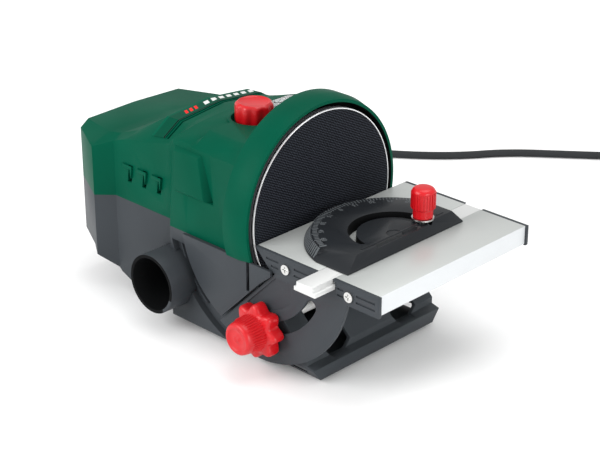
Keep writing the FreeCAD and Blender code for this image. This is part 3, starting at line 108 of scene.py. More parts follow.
soft_box("left_soft_box", (-0.45, -1.15, 0.75), 0.9, 15)
soft_box("front_soft_box", (1.25, -0.25, 0.35), 0.6, 7)
soft_box("top_soft_box", (0.1, 0.3, 1.3), 0.9, 8)
world = bpy.data.worlds.new("light_tent")
bpy.context.scene.world = world
world.use_nodes = True
world.node_tree.nodes["Background"].inputs["Color"].default_value = (1, 1, 1, 1)
world.node_tree.nodes["Background"].inputs["Strength"].default_value = TENT_LIGHT

# %% [markdown]
# ## Finishes
# Each finish is a Principled shader. The effects that several finishes share are node groups: a moulded
# grain that only puts out a height, and a soft mottling that mixes two near colours, with a little dust on
# the faces that look up. Colours are given as they look on screen and turned to linear values once.


# %% Colour and material helpers
def linear(red, green, blue):
    def channel(value):
        value /= 255
        return value / 12.92 if value <= 0.04045 else ((value + 0.055) / 1.055) ** 2.4
    return channel(red), channel(green), channel(blue), 1


def new_group(name, inputs, outputs):
    group = bpy.data.node_groups.new(name, "ShaderNodeTree")
    for label, kind, value in inputs:
        socket = group.interface.new_socket(label, in_out="INPUT", socket_type=kind)
        socket.default_value = value
    for label, kind in outputs:
        group.interface.new_socket(label, in_out="OUTPUT", socket_type=kind)
    return group, group.nodes.new("NodeGroupInput"), group.nodes.new("NodeGroupOutput")


def math_node(tree, operation, first, second=None, third=None):
    """A math node whose inputs are numbers or sockets."""
    node = tree.nodes.new("ShaderNodeMath")
    node.operation = operation
    for index, value in enumerate((first, second, third)):
        if value is None:
            continue
        if isinstance(value, (int, float)):
            node.inputs[index].default_value = value
        else:
            tree.links.new(value, node.inputs[index])
    return node.outputs[0]


def mix_colours(tree, factor, first, second):
    node = tree.nodes.new("ShaderNodeMix")
    node.data_type = "RGBA"
    for socket, value in zip((node.inputs[0], node.inputs[6], node.inputs[7]), (factor, first, second)):
        if isinstance(value, (int, float, tuple)):
            socket.default_value = value
        else:
            tree.links.new(value, socket)
    return node.outputs[2]


# %% Shared group: moulded grain
grain_group, grain_in, grain_out = new_group(
    "moulded_grain", [("Scale", "NodeSocketFloat", 900.0), ("Softness", "NodeSocketFloat", 0.5)],
    [("Height", "NodeSocketFloat")])
grain_place = grain_group.nodes.new("ShaderNodeTexCoord")
grain_noise = grain_group.nodes.new("ShaderNodeTexNoise")
grain_cells = grain_group.nodes.new("ShaderNodeTexVoronoi")
for texture in (grain_noise, grain_cells):
    grain_group.links.new(grain_place.outputs["Object"], texture.inputs["Vector"])
    grain_group.links.new(grain_in.outputs["Scale"], texture.inputs["Scale"])
grain_soft = math_node(grain_group, "MULTIPLY", grain_noise.outputs["Fac"], grain_in.outputs["Softness"])
grain_sum = math_node(grain_group, "ADD", grain_soft, grain_cells.outputs["Distance"])
grain_group.links.new(grain_sum, grain_out.inputs["Height"])

# %% Shared group: mottled colour with settled dust
tone_group, tone_in, tone_out = new_group(
    "mottled_tone",
    [("Colour", "NodeSocketColor", (0.5, 0.5, 0.5, 1)),
     ("Second Colour", "NodeSocketColor", (0.4, 0.4, 0.4, 1)),
     ("Scale", "NodeSocketFloat", 30.0), ("Dust", "NodeSocketFloat", 0.1)],
    [("Colour", "NodeSocketColor"), ("Roughness Mask", "NodeSocketFloat")])
tone_place = tone_group.nodes.new("ShaderNodeTexCoord")
tone_noise = tone_group.nodes.new("ShaderNodeTexNoise")
tone_noise.inputs["Detail"].default_value = 5
tone_group.links.new(tone_place.outputs["Object"], tone_noise.inputs["Vector"])
tone_group.links.new(tone_in.outputs["Scale"], tone_noise.inputs["Scale"])
tone_base = mix_colours(tone_group, tone_noise.outputs["Fac"], tone_in.outputs["Colour"],
                        tone_in.outputs["Second Colour"])
tone_normal = tone_group.nodes.new("ShaderNodeNewGeometry")
tone_split = tone_group.nodes.new("ShaderNodeSeparateXYZ")
tone_group.links.new(tone_normal.outputs["Normal"], tone_split.inputs["Vector"])
tone_up = math_node(tone_group, "MAXIMUM", tone_split.outputs["Z"], 0.0)
tone_dust = math_node(tone_group, "MULTIPLY", tone_up, tone_in.outputs["Dust"])
tone_dust = math_node(tone_group, "MULTIPLY", tone_dust, tone_noise.outputs["Fac"])
DUST_COLOUR = linear(196, 190, 178)
tone_final = mix_colours(tone_group, tone_dust, tone_base, DUST_COLOUR)
tone_group.links.new(tone_final, tone_out.inputs["Colour"])
tone_group.links.new(tone_noise.outputs["Fac"], tone_out.inputs["Roughness Mask"])
print("shared groups", grain_group.name, tone_group.name)


# %% One finish from the two groups
GRAIN_DEPTH = 0.1 * MM
ROUGHNESS_SPREAD = 0.06
MOTTLE_SCALE = 30.0


def finish(name, colour, second, roughness=0.45, metallic=0.0, grain=900.0, relief=0.15, dust=0.006,
           specular=0.22):
    material = bpy.data.materials.new(name)
    material.use_nodes = True
    tree = material.node_tree
    shader = tree.nodes["Principled BSDF"]
    shader.inputs["Metallic"].default_value = metallic
    shader.inputs["Specular IOR Level"].default_value = specular
    tone = tree.nodes.new("ShaderNodeGroup")
    tone.node_tree = tone_group
    tone.inputs["Colour"].default_value = colour
    tone.inputs["Second Colour"].default_value = second
    tone.inputs["Scale"].default_value = MOTTLE_SCALE
    tone.inputs["Dust"].default_value = dust
    tree.links.new(tone.outputs["Colour"], shader.inputs["Base Color"])
    spread = tree.nodes.new("ShaderNodeMapRange")
    spread.inputs["To Min"].default_value = roughness - ROUGHNESS_SPREAD
    spread.inputs["To Max"].default_value = roughness + ROUGHNESS_SPREAD
    tree.links.new(tone.outputs["Roughness Mask"], spread.inputs["Value"])
    tree.links.new(spread.outputs["Result"], shader.inputs["Roughness"])
    height = tree.nodes.new("ShaderNodeGroup")
    height.node_tree = grain_group
    height.inputs["Scale"].default_value = grain
    bump = tree.nodes.new("ShaderNodeBump")
    bump.inputs["Strength"].default_value = relief
    bump.inputs["Distance"].default_value = GRAIN_DEPTH
    tree.links.new(height.outputs["Height"], bump.inputs["Height"])
    tree.links.new(bump.outputs["Normal"], shader.inputs["Normal"])
    return material


# %% [markdown]
# The casing's green is deep and slightly blue where the light falls. The lower casing and the brackets are
# one dark grey compound, and the mitre head is a darker one. Knobs are smoother, and catch a soft highlight.

# %% Plain finishes
green = finish("green_moulding", linear(0, 78, 58), linear(0, 66, 48), roughness=0.45, grain=1300,
               relief=0.12, specular=0.035, dust=0.001)
dark = finish("dark_moulding", linear(58, 62, 66), linear(50, 54, 58), roughness=0.46, grain=1300,
              relief=0.14, specular=0.14)
head_grey = finish("gauge_moulding", linear(30, 33, 37), linear(24, 27, 30), roughness=0.38, grain=1200,
                   dust=0.004)
# The scale marks and numbers are moulded in the head's own grey; their lighter grey is a painted highlight on the
# raised marks.
marks_painted_highlight = finish("gauge_marks_painted_highlight", linear(98, 102, 105), linear(86, 90, 93), roughness=0.4, grain=1200)
black = finish("black_moulding", linear(26, 27, 28), linear(18, 19, 20), roughness=0.5)
red = finish("red_knob", linear(196, 14, 24), linear(182, 10, 20), roughness=0.33, grain=1500, relief=0.06,
             specular=0.4)
rubber = finish("soft_rubber", linear(40, 42, 44), linear(32, 34, 36), roughness=0.6, grain=2200, relief=0.2)
steel = finish("bright_steel", linear(214, 214, 212), linear(186, 186, 184), roughness=0.28, metallic=1,
               dust=0, grain=600, relief=0.05)
motor_steel = finish("plated_sheet", linear(150, 152, 155), linear(130, 132, 136), roughness=0.35,
                     metallic=1, dust=0)
copper = finish("copper", linear(196, 120, 78), linear(170, 98, 62), roughness=0.3, metallic=1, dust=0)
board_green = finish("board_green", linear(20, 90, 50), linear(14, 76, 42), roughness=0.4)
bar_white = finish("satin_bar", linear(208, 209, 208), linear(200, 201, 200), roughness=0.34, metallic=0.3,
                   grain=700, relief=0.05, dust=0)
print("finishes", len(bpy.data.materials))

# %% [markdown]
# The abrasive sheet carries its grit in close diagonal rows. A Voronoi texture with very little randomness
# gives a nearly even lattice. Turned a few degrees it becomes the rows, and the same value is the height.

# %% Abrasive
GRIT_PITCH = 1.5 * MM
GRIT_TURN = math.radians(27)
GRIT_SCATTER = 0.12
GRIT_EDGE, GRIT_TOP = 0.42, 0.24
GRIT_DEPTH = 0.2 * MM


def abrasive_finish():
    material = bpy.data.materials.new("abrasive_cloth")
    material.use_nodes = True
    tree = material.node_tree
    shader = tree.nodes["Principled BSDF"]
    shader.inputs["Roughness"].default_value = 0.7
    shader.inputs["Specular IOR Level"].default_value = 0.06
    place = tree.nodes.new("ShaderNodeTexCoord")
    turn = tree.nodes.new("ShaderNodeMapping")
    turn.inputs["Rotation"].default_value = (GRIT_TURN, 0, 0)
    tree.links.new(place.outputs["Object"], turn.inputs["Vector"])
    lattice = tree.nodes.new("ShaderNodeTexVoronoi")
    lattice.inputs["Scale"].default_value = 1 / GRIT_PITCH
    lattice.inputs["Randomness"].default_value = GRIT_SCATTER
    tree.links.new(turn.outputs["Vector"], lattice.inputs["Vector"])
    dots = tree.nodes.new("ShaderNodeMapRange")
    dots.inputs["From Min"].default_value = GRIT_EDGE
    dots.inputs["From Max"].default_value = GRIT_TOP
    tree.links.new(lattice.outputs["Distance"], dots.inputs["Value"])
    tone = tree.nodes.new("ShaderNodeGroup")
    tone.node_tree = tone_group
    tone.inputs["Colour"].default_value = linear(9, 10, 13)
    tone.inputs["Second Colour"].default_value = linear(13, 14, 18)
    tone.inputs["Dust"].default_value = 0
    shade = mix_colours(tree, dots.outputs["Result"], tone.outputs["Colour"], linear(50, 54, 62))
    tree.links.new(shade, shader.inputs["Base Color"])
    bump = tree.nodes.new("ShaderNodeBump")
    bump.inputs["Strength"].default_value = 0.5
    bump.inputs["Distance"].default_value = GRIT_DEPTH
    tree.links.new(dots.outputs["Result"], bump.inputs["Height"])
    tree.links.new(bump.outputs["Normal"], shader.inputs["Normal"])
    return material


abrasive = abrasive_finish()

# %% [markdown]
# The name strip behind the controls is green with a black line. It has slanted bars: three red ones at the
# near end, and pale ones where a maker's lettering would stand. The bars are cut from one slanted coordinate.

# %% Name strip
# In metres, bands are (low, high) along X, and bars are (low, high, pitch, filled share) along the slant.
BAR_SLANT = 0.5
GROUND_BAND = (-0.105, -0.0962)
BAR_BAND = (-0.1035, -0.0985)
LINE_BAND = (-0.0957, -0.0945)
RED_BARS = (-0.0765, -0.0645, 0.0042, 0.55)
PALE_BARS = (-0.0595, -0.008, 0.0068, 0.6)


def strip_finish():
    material = bpy.data.materials.new("name_strip")
    material.use_nodes = True
    tree = material.node_tree
    shader = tree.nodes["Principled BSDF"]
    shader.inputs["Roughness"].default_value = 0.45
    shader.inputs["Specular IOR Level"].default_value = 0.035
    place = tree.nodes.new("ShaderNodeTexCoord")
    split = tree.nodes.new("ShaderNodeSeparateXYZ")
    tree.links.new(place.outputs["Object"], split.inputs["Vector"])
    slant = math_node(tree, "MULTIPLY_ADD", split.outputs["X"], BAR_SLANT, split.outputs["Y"])

    def band(low, high, coordinate):
        above = math_node(tree, "GREATER_THAN", coordinate, low)
        below = math_node(tree, "LESS_THAN", coordinate, high)
        return math_node(tree, "MULTIPLY", above, below)

    along = split.outputs["X"]
    across = band(*BAR_BAND, along)

    def bars(low, high, pitch, filled):
        shifted = math_node(tree, "SUBTRACT", slant, low)
        turn = math_node(tree, "FRACT", math_node(tree, "DIVIDE", shifted, pitch))
        each = math_node(tree, "LESS_THAN", turn, filled)
        every = math_node(tree, "MULTIPLY", each, band(low, high, slant))
        return math_node(tree, "MULTIPLY", every, across)

    ground = mix_colours(tree, band(*GROUND_BAND, along), linear(0, 78, 58), linear(0, 66, 48))
    base = mix_colours(tree, bars(*RED_BARS), ground, linear(214, 40, 40))
    base = mix_colours(tree, bars(*PALE_BARS), base, linear(206, 208, 206))
    base = mix_colours(tree, band(*LINE_BAND, along), base, linear(12, 13, 14))
    tree.links.new(base, shader.inputs["Base Color"])
    return material


strip = strip_finish()

# %% [markdown]
# The table is aluminium, pale and satin. The clamp rod is pale zinc, made near white and barely metallic so it
# shows bright in its shade: its own colour with a painted highlight. The switch's cover is clear.

# %% Table, rim, rod and cover
table_metal = finish("table_aluminium", linear(188, 191, 189), linear(180, 183, 181), roughness=0.36,
                     metallic=0.35, grain=1600, relief=0.08, dust=0)
rim_metal = finish("disc_rim_metal", linear(240, 241, 242), linear(225, 226, 228), roughness=0.25,
                   metallic=0.5, dust=0, relief=0.03)
band_grey = finish("disc_band", linear(128, 130, 134), linear(114, 116, 120), roughness=0.4, metallic=0.4,
                   dust=0)
# Painted highlight: a near-white, barely metallic rod that reads bright although it lies in shade.
zinc_and_painted_highlight = finish("zinc_rod_and_painted_highlight", linear(244, 244, 242), linear(232, 232, 230), roughness=0.3, metallic=0.15, dust=0,
              specular=0.5)
cover_clear = bpy.data.materials.new("clear_cover")
cover_clear.use_nodes = True
cover_shader = cover_clear.node_tree.nodes["Principled BSDF"]
cover_shader.inputs["Base Color"].default_value = linear(236, 240, 240)
cover_shader.inputs["Roughness"].default_value = 0.12
cover_shader.inputs["Transmission Weight"].default_value = 0.92
cover_shader.inputs["IOR"].default_value = 1.25

# %% Which finish each node has
MATERIAL_OF = {
    "upper_housing": green, "lower_housing": dark, "base_tray": dark, "dust_outlet": dark,
    "near_quadrant_bracket": dark, "far_end_cap": dark, "far_quadrant_bracket": dark, "mitre_head": head_grey,
    "lock_knob": red, "speed_dial": red, "mitre_knob": red, "switch_rocker": red, "switch_cover": cover_clear,
    "switch_body": black, "potentiometer": black, "brush_holders": black, "cooling_fan": black,
    "magnets": black, "carbon_brushes": black, "rubber_feet": rubber, "strain_relief": rubber,
    "power_cord": rubber, "cord_coil": rubber, "mains_plug": rubber, "control_board": board_green,
    "commutator": copper, "armature": motor_steel, "motor_can": motor_steel, "motor_end_cap": motor_steel,
    "front_bearing": steel, "rear_bearing": steel, "motor_shaft": steel, "disc_hub": steel,
    "sanding_disc": band_grey, "hook_pad": black, "abrasive_sheet": abrasive, "label_strip": strip,
    "table_top": table_metal, "mitre_bar": bar_white, "dial_spindle": steel, "clamp_nut": steel,
    "clamp_rod": zinc_and_painted_highlight, "lock_washer": steel, "mitre_stud": steel, "mitre_washer": steel,
    "mitre_pivot_screw": head_grey, "tray_screws": steel, "casing_screws": steel, "table_screws": steel,
    "bracket_screws": steel,
}


def dress(obj, material):
    obj.data.materials.clear()
    obj.data.materials.append(material)


for node, obj in frame["nodes"].items():
    dress(obj, MATERIAL_OF[node])
print("dressed", len(frame["nodes"]), "of", len(MATERIAL_OF))

# %% [markdown]
# ## Rounded edges
# Moulded and cast parts have small radii on every edge, which is where they catch the light. Each such part
# is copied, cleaned of the flat facets' extra edges, bevelled at its sharp edges, and shaded smooth.

# %% Softening
MERGE_DISTANCE = 0.002 * MM
FLAT_ANGLE = 0.5
BEVEL_ANGLE = 32
BEVEL_SEGMENTS = 2
SMOOTH_ANGLE = 35


def add_piece(name, mesh, body, material):
    piece = bpy.data.objects.new(name, mesh)
    bpy.context.collection.objects.link(piece)
    dress(piece, material)
    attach(piece, body)
    return piece


def clean_copy(mesh):
    bm = bmesh.new()
    bm.from_mesh(mesh)
    bmesh.ops.remove_doubles(bm, verts=bm.verts, dist=MERGE_DISTANCE)
    bmesh.ops.dissolve_limit(bm, angle_limit=math.radians(FLAT_ANGLE), verts=bm.verts, edges=bm.edges)
    bmesh.ops.recalc_face_normals(bm, faces=bm.faces)
    copy = bpy.data.meshes.new(mesh.name + "_soft")
    bm.to_mesh(copy)
    bm.free()
    return copy


def baked(obj):
    """The object's mesh with its modifiers applied, and the modifiers gone."""
    graph = bpy.context.evaluated_depsgraph_get()
    mesh = bpy.data.meshes.new_from_object(obj.evaluated_get(graph), depsgraph=graph)
    obj.modifiers.clear()
    return mesh


def shade_smooth(mesh, angle=SMOOTH_ANGLE):
    mesh.shade_smooth()
    mesh.set_sharp_from_angle(angle=math.radians(angle))


def soften(node, width):
    """A bevelled copy of one node, in its place; width is in millimetres."""
    source = frame["nodes"][node]
    piece = bpy.data.objects.new(node + "_soft", clean_copy(source.data))
    if node in RESHAPED:
        RESHAPED[node](piece.data)
    bpy.context.collection.objects.link(piece)
    bevel = piece.modifiers.new("edge_radius", "BEVEL")
    bevel.width = width * MM
    bevel.segments = BEVEL_SEGMENTS
    bevel.limit_method = "ANGLE"
    bevel.angle_limit = math.radians(BEVEL_ANGLE)
    bevel.use_clamp_overlap = True
    piece.data = baked(piece)
    shade_smooth(piece.data)
    dress(piece, MATERIAL_OF[node])
    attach(piece, BODY_OF[node])
    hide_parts(node)
    return piece


SOFTENED = {
    "upper_housing": 0.9, "lower_housing": 0.6, "base_tray": 0.7, "dust_outlet": 0.5,
    "near_quadrant_bracket": 0.6, "far_end_cap": 0.6, "far_quadrant_bracket": 0.4,
    "switch_rocker": 0.4, "mains_plug": 1.4, "strain_relief": 0.3, "table_top": 0.3,
    "mitre_bar": 0.35, "switch_cover": 0.9, "switch_body": 0.3, "mitre_head": 0.35,
}
END_REACH, END_SLOPE = 2, 7
TOP_BAND = 0.1


def bevel_gauge_end(mesh):
    """The near end of the gauge's head slopes much more than its far end, as the top stops short of it."""
    low = min(vertex.co.z for vertex in mesh.vertices)
    high = max(vertex.co.z for vertex in mesh.vertices)
    near = min(vertex.co.y for vertex in mesh.vertices if vertex.co.z > high - TOP_BAND * MM)
    for vertex in mesh.vertices:
        if vertex.co.z > (low + high) / 2 and vertex.co.y < near + END_REACH * MM:
            vertex.co.y += END_SLOPE * MM


RESHAPED = {"mitre_head": bevel_gauge_end}
soft = {node: soften(node, width) for node, width in SOFTENED.items()}
for node, piece in soft.items():
    print(node, len(piece.data.polygons), "faces")

# %% [markdown]
# The dust outlet's bore, the hood's inside, and the inside of the mitre gauge's curved slot get a second,
# darker finish on their faces: painted shade, as little light reaches them. The table's front edge gets a
# paler one: painted light, where the front faces catch more light than the top. Radii and places are in
# millimetres.

# %% Painted shade in the hollows, and painted light on the table's edge
# Painted shade: a near-black finish for the faces of the outlet's bore, the hood's inside and the gauge's slot.
painted_shade_black = finish("painted_shade_black", linear(16, 17, 18), linear(10, 11, 12), roughness=0.7, specular=0.05,
                      dust=0)
BORE_RADIUS = 18.3
HOOD_BORE, HOOD_BACK, HOOD_MOUTH = 66.4, -21, -0.9
GUIDE_INNER, GUIDE_OUTER, GUIDE_SKIN = 23.2, 29.8, 0.6
EDGE_SKIN, EDGE_FACING = 0.05, 0.9


def paint_faces(piece, material, wanted):
    """Give the faces that wanted(centre, normal) picks a second finish, and count them."""
    piece.data.materials.append(material)
    slot = len(piece.data.materials) - 1
    count = 0
    for face in piece.data.polygons:
        if wanted(face.center / MM, face.normal):
            face.material_index = slot
            count += 1
    return count


outlet_low, outlet_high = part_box("dust_outlet")
outlet_mid = (outlet_low + outlet_high) / 2 / MM


def in_bore(centre, normal):
    return math.hypot(centre.x - outlet_mid.x, centre.z - outlet_mid.z) < BORE_RADIUS


print("outlet bore faces", paint_faces(soft["dust_outlet"], painted_shade_black, in_bore))


def in_hood(centre, normal):
    off_axis = math.hypot(centre.y, centre.z - disc_centre.z / MM)
    return off_axis < HOOD_BORE and HOOD_BACK < centre.x < HOOD_MOUTH


# Painted light: the table's front faces get a paler colour than its top, for the light they catch.
painted_light_edge = finish("table_edge_painted_light", linear(208, 211, 213), linear(200, 203, 205), roughness=0.4, metallic=0.1,
                    dust=0)
table_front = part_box("table_top")[1].x / MM
gauge_axis = JOINT_AT["gauge_swivel"] / MM
gauge_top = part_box("mitre_head")[1].z / MM


def in_guide(centre, normal):
    off_axis = math.hypot(centre.x - gauge_axis.x, centre.y - gauge_axis.y)
    return GUIDE_INNER < off_axis < GUIDE_OUTER and centre.z < gauge_top - GUIDE_SKIN


def on_front_edge(centre, normal):
    return centre.x > table_front - EDGE_SKIN and normal.x > EDGE_FACING


print("guide faces", paint_faces(soft["mitre_head"], painted_shade_black, in_guide))
print("table edge faces", paint_faces(soft["table_top"], painted_light_edge, on_front_edge))
for node in ("upper_housing", "lower_housing"):
    print(node, "hood faces", paint_faces(soft[node], painted_shade_black, in_hood))

# %% [markdown]
# ## Disc face
# The abrasive is a sheet a little smaller than the plate it is fixed to. The plate's turned rim shows as a
# bright ring round it.


# %% Turned pieces
def turned_mesh(name, profile, placing, steps):
    """A closed surface of revolution from (radius, height) corners in millimetres about +Z, then placed."""
    bm = bmesh.new()
    rings = []
    for radius, height in profile:
        if radius == 0:
            rings.append([bm.verts.new((0, 0, height * MM))])
            continue
        rings.append([bm.verts.new((radius * MM * math.cos(2 * math.pi * i / steps),
                                    radius * MM * math.sin(2 * math.pi * i / steps), height * MM))
                      for i in range(steps)])
    pairs = list(zip(rings, rings[1:]))
    if profile[0][0] and profile[-1][0]:
        pairs.append((rings[-1], rings[0]))
    for low, high in pairs:
        for i in range(steps):
            j = (i + 1) % steps
            if len(low) == 1:
                bm.faces.new((low[0], high[i], high[j]))
            elif len(high) == 1:
                bm.faces.new((low[i], low[j], high[0]))
            else:
                bm.faces.new((low[i], low[j], high[j], high[i]))
    bmesh.ops.recalc_face_normals(bm, faces=bm.faces)
    bm.transform(placing)
    mesh = bpy.data.meshes.new(name)
    bm.to_mesh(mesh)
    bm.free()
    shade_smooth(mesh)
    return mesh


# %% Disc pieces
SHEET_RADIUS = 61.6
EDGE_ROUND = 0.2
DISC_STEPS = 160
disc_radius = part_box("abrasive_sheet")[1].y / MM
sheet_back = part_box("abrasive_sheet")[0].x / MM
on_axis = Matrix.Translation((0, 0, disc_centre.z)) @ Matrix.Rotation(math.pi / 2, 4, "Y")
sheet_profile = [(0, sheet_back), (SHEET_RADIUS, sheet_back), (SHEET_RADIUS, -0.15),
                 (SHEET_RADIUS - EDGE_ROUND, 0), (0, 0)]
sheet_piece = add_piece("abrasive_face", turned_mesh("abrasive_face", sheet_profile, on_axis, DISC_STEPS),
                        "disc", abrasive)
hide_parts("abrasive_sheet")
rim_profile = [(SHEET_RADIUS, sheet_back), (disc_radius, sheet_back), (disc_radius, -0.5),
               (disc_radius - EDGE_ROUND, -0.1), (SHEET_RADIUS + EDGE_ROUND, -0.1), (SHEET_RADIUS, -0.3)]
add_piece("disc_rim", turned_mesh("disc_rim", rim_profile, on_axis, DISC_STEPS), "disc", rim_metal)
print("sheet radius", SHEET_RADIUS, "plate radius", round(disc_radius, 2))

# %% [markdown]
# ## Mains lead
# The lead leaves the strain relief level, sags to the bench, runs round behind, and is wound into a flat coil
# of two layers next to its plug. The route is in metres.

# %% Cord route
CORD_DIAMETER = 0.006
COIL_CENTRE = Vector((0.030, 0.388, 0))
ROUTE = [(-.216, .026, .048), (-.242, .026, .048), (-.276, .036, .022), (-.303, .066, .003),
         (-.308, .112, .003), (-.292, .158, .003), (-.254, .197, .003), (-.208, .229, .003),
         (-.161, .256, .003), (-.123, .289, .003), (-.099, .324, .003), (-.059, .356, .003)]
COIL_RADII = (0.039, 0.033, 0.027)
START_ANGLE = math.radians(165)
END_ANGLE = math.radians(60)
STEPS_PER_TURN = 14
ROW_SHIFT = 0.2
LIFT_TURNS = 0.3
COIL_TURNS = 5 + (START_ANGLE - END_ANGLE) / (2 * math.pi)
PLUG_HEIGHT = 0.007
PLUG_REACH = 0.024


def eased(value):
    value = min(max(value, 0), 1)
    return value * value * (3 - 2 * value)


def coil_points():
    """Clockwise from the outside in on the bench, then up and from the inside out on the first layer."""
    count = round(COIL_TURNS * STEPS_PER_TURN)
    points = []
    for i in range(count + 1):
        turn = COIL_TURNS * i / count
        angle = START_ANGLE - turn * 2 * math.pi
        half = COIL_TURNS / 2
        rows_in = min(turn, COIL_TURNS - turn)
        row = min(int(rows_in), len(COIL_RADII) - 1)
        shift = eased((rows_in - row - 1) / ROW_SHIFT + 1) if row < len(COIL_RADII) - 1 else 0
        radius = COIL_RADII[row] - CORD_DIAMETER * shift
        height = CORD_DIAMETER * (0.5 + eased((turn - half) / LIFT_TURNS + 0.5))
        points.append(COIL_CENTRE + Vector((radius * math.cos(angle), radius * math.sin(angle), height)))
    return points


def cord_object(name, points):
    curve = bpy.data.curves.new(name, "CURVE")
    curve.dimensions = "3D"
    curve.resolution_u = 6
    curve.bevel_depth = CORD_DIAMETER / 2
    curve.bevel_resolution = 5
    curve.use_fill_caps = True
    spline = curve.splines.new("NURBS")
    spline.points.add(len(points) - 1)
    for target, point in zip(spline.points, points):
        target.co = (*point, 1)
    spline.order_u = 3
    spline.use_endpoint_u = True
    piece = bpy.data.objects.new(name, curve)
    bpy.context.collection.objects.link(piece)
    dress(piece, rubber)
    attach(piece, "machine")
    return piece


cord_line = [Vector(p) for p in ROUTE] + coil_points()

# %% [markdown]
# The finished curve's length is measured and printed, about 1.69 m. The last points
# run straight from the coil into the plug.

# %% Lay the lead
leave = Vector((math.sin(END_ANGLE), -math.cos(END_ANGLE), 0))
outward = Vector((math.cos(END_ANGLE), math.sin(END_ANGLE), 0))
coil_end = coil_points()[-1]
plug_start = COIL_CENTRE + COIL_RADII[0] * outward + leave * PLUG_REACH
plug_start.z = PLUG_HEIGHT
cord_line += [coil_end + leave * 0.008, coil_end + leave * 0.016, plug_start, plug_start + leave * 0.006]
lead = cord_object("mains_lead", cord_line)
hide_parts("power_cord", "cord_coil")


def curve_length(obj):
    """The length of the curve's own line, measured on a copy without thickness."""
    plain = obj.data.copy()
    plain.bevel_depth = 0
    probe = bpy.data.objects.new("probe", plain)
    bpy.context.collection.objects.link(probe)
    mesh = bpy.data.meshes.new_from_object(probe.evaluated_get(bpy.context.evaluated_depsgraph_get()))
    ends = ([mesh.vertices[index].co for index in edge.vertices] for edge in mesh.edges)
    total = sum((start - end).length for start, end in ends)
    bpy.data.objects.remove(probe)
    return total


lead_length = round(curve_length(lead), 3)
print("lead length", lead_length)

# %% [markdown]
# ## Ribs and scale marks
# One Geometry Nodes group sets a small bar at even turns round an axis. The mitre knob's ribs and the gauge's
# scale marks are the same group with other numbers. It is worked out once and kept as plain mesh.

# %% Bars round an axis
def link(tree, source, target):
    tree.links.new(source, target)


def bars_group():
    group = bpy.data.node_groups.new("bars_round_axis", "GeometryNodeTree")
    group.interface.new_socket("Geometry", in_out="OUTPUT", socket_type="NodeSocketGeometry")
    inputs = (("Count", "NodeSocketInt"), ("Start", "NodeSocketFloat"), ("Step", "NodeSocketFloat"),
              ("Radius", "NodeSocketFloat"), ("Height", "NodeSocketFloat"), ("Length", "NodeSocketFloat"),
              ("Width", "NodeSocketFloat"), ("Depth", "NodeSocketFloat"), ("Lean", "NodeSocketFloat"),
              ("Long Every", "NodeSocketInt"), ("Long Factor", "NodeSocketFloat"),
              ("Material", "NodeSocketMaterial"))
    for label, kind in inputs:
        group.interface.new_socket(label, in_out="INPUT", socket_type=kind)
    nodes = group.nodes
    given = nodes.new("NodeGroupInput").outputs
    result = nodes.new("NodeGroupOutput")
    index = nodes.new("GeometryNodeInputIndex").outputs[0]
    turn = math_node(group, "MULTIPLY_ADD", index, given["Step"], given["Start"])
    where = nodes.new("ShaderNodeCombineXYZ")
    for axis, operation in (("X", "COSINE"), ("Y", "SINE")):
        part = math_node(group, operation, turn)
        link(group, math_node(group, "MULTIPLY", part, given["Radius"]), where.inputs[axis])
    link(group, given["Height"], where.inputs["Z"])
    points = nodes.new("GeometryNodePoints")
    link(group, given["Count"], points.inputs["Count"])
    link(group, where.outputs[0], points.inputs["Position"])
    bar = nodes.new("GeometryNodeMeshCube")
    sides = nodes.new("ShaderNodeCombineXYZ")
    for axis, label in (("X", "Depth"), ("Y", "Width"), ("Z", "Length")):
        link(group, given[label], sides.inputs[axis])
    link(group, sides.outputs[0], bar.inputs["Size"])
    facing = nodes.new("ShaderNodeCombineXYZ")
    link(group, given["Lean"], facing.inputs["Y"])
    link(group, turn, facing.inputs["Z"])
    remainder = math_node(group, "MODULO", index, given["Long Every"])
    is_long = math_node(group, "LESS_THAN", remainder, 0.5)
    extra = math_node(group, "SUBTRACT", given["Long Factor"], 1.0)
    stretch = nodes.new("ShaderNodeCombineXYZ")
    stretch.inputs["X"].default_value = 1
    stretch.inputs["Y"].default_value = 1
    link(group, math_node(group, "MULTIPLY_ADD", is_long, extra, 1.0), stretch.inputs["Z"])
    spread = nodes.new("GeometryNodeInstanceOnPoints")
    link(group, points.outputs[0], spread.inputs["Points"])
    link(group, bar.outputs["Mesh"], spread.inputs["Instance"])
    link(group, facing.outputs[0], spread.inputs["Rotation"])
    link(group, stretch.outputs[0], spread.inputs["Scale"])
    real = nodes.new("GeometryNodeRealizeInstances")
    link(group, spread.outputs[0], real.inputs[0])
    paint = nodes.new("GeometryNodeSetMaterial")
    link(group, real.outputs[0], paint.inputs["Geometry"])
    link(group, given["Material"], paint.inputs["Material"])
    link(group, paint.outputs[0], result.inputs["Geometry"])
    return group


BARS = bars_group()


def ring_of_bars(name, body, centre, material, **values):
    """Bars round an upright axis as one plain mesh. Angles are in degrees and lengths in millimetres."""
    mesh = bpy.data.meshes.new(name + "_seed")
    piece = bpy.data.objects.new(name, mesh)
    bpy.context.collection.objects.link(piece)
    modifier = piece.modifiers.new("bars", "NODES")
    modifier.node_group = BARS
    sockets = {item.name: item.identifier for item in BARS.interface.items_tree if item.in_out == "INPUT"}
    values = {"Start": 0, "Lean": 0, "Long Every": 1, "Long Factor": 1, **values}
    for label, value in values.items():
        if label in ("Start", "Step", "Lean"):
            value = math.radians(value)
        elif label in ("Radius", "Height", "Length", "Width", "Depth"):
            value *= MM
        elif label == "Long Factor":
            value = float(value)
        modifier[sockets[label]] = value
    modifier[sockets["Material"]] = material
    piece.data = baked(piece)
    piece.data.transform(Matrix.Translation(centre))
    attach(piece, body)


# %% [markdown]
# The lock knob and the speed dial are surfaces whose radius also changes with the angle. The lock knob's star
# has eight soft lobes, and its tapered boss forty fine flutes that fade out before the rounded end. The dial
# has ten shallow grip hollows and a dished top.

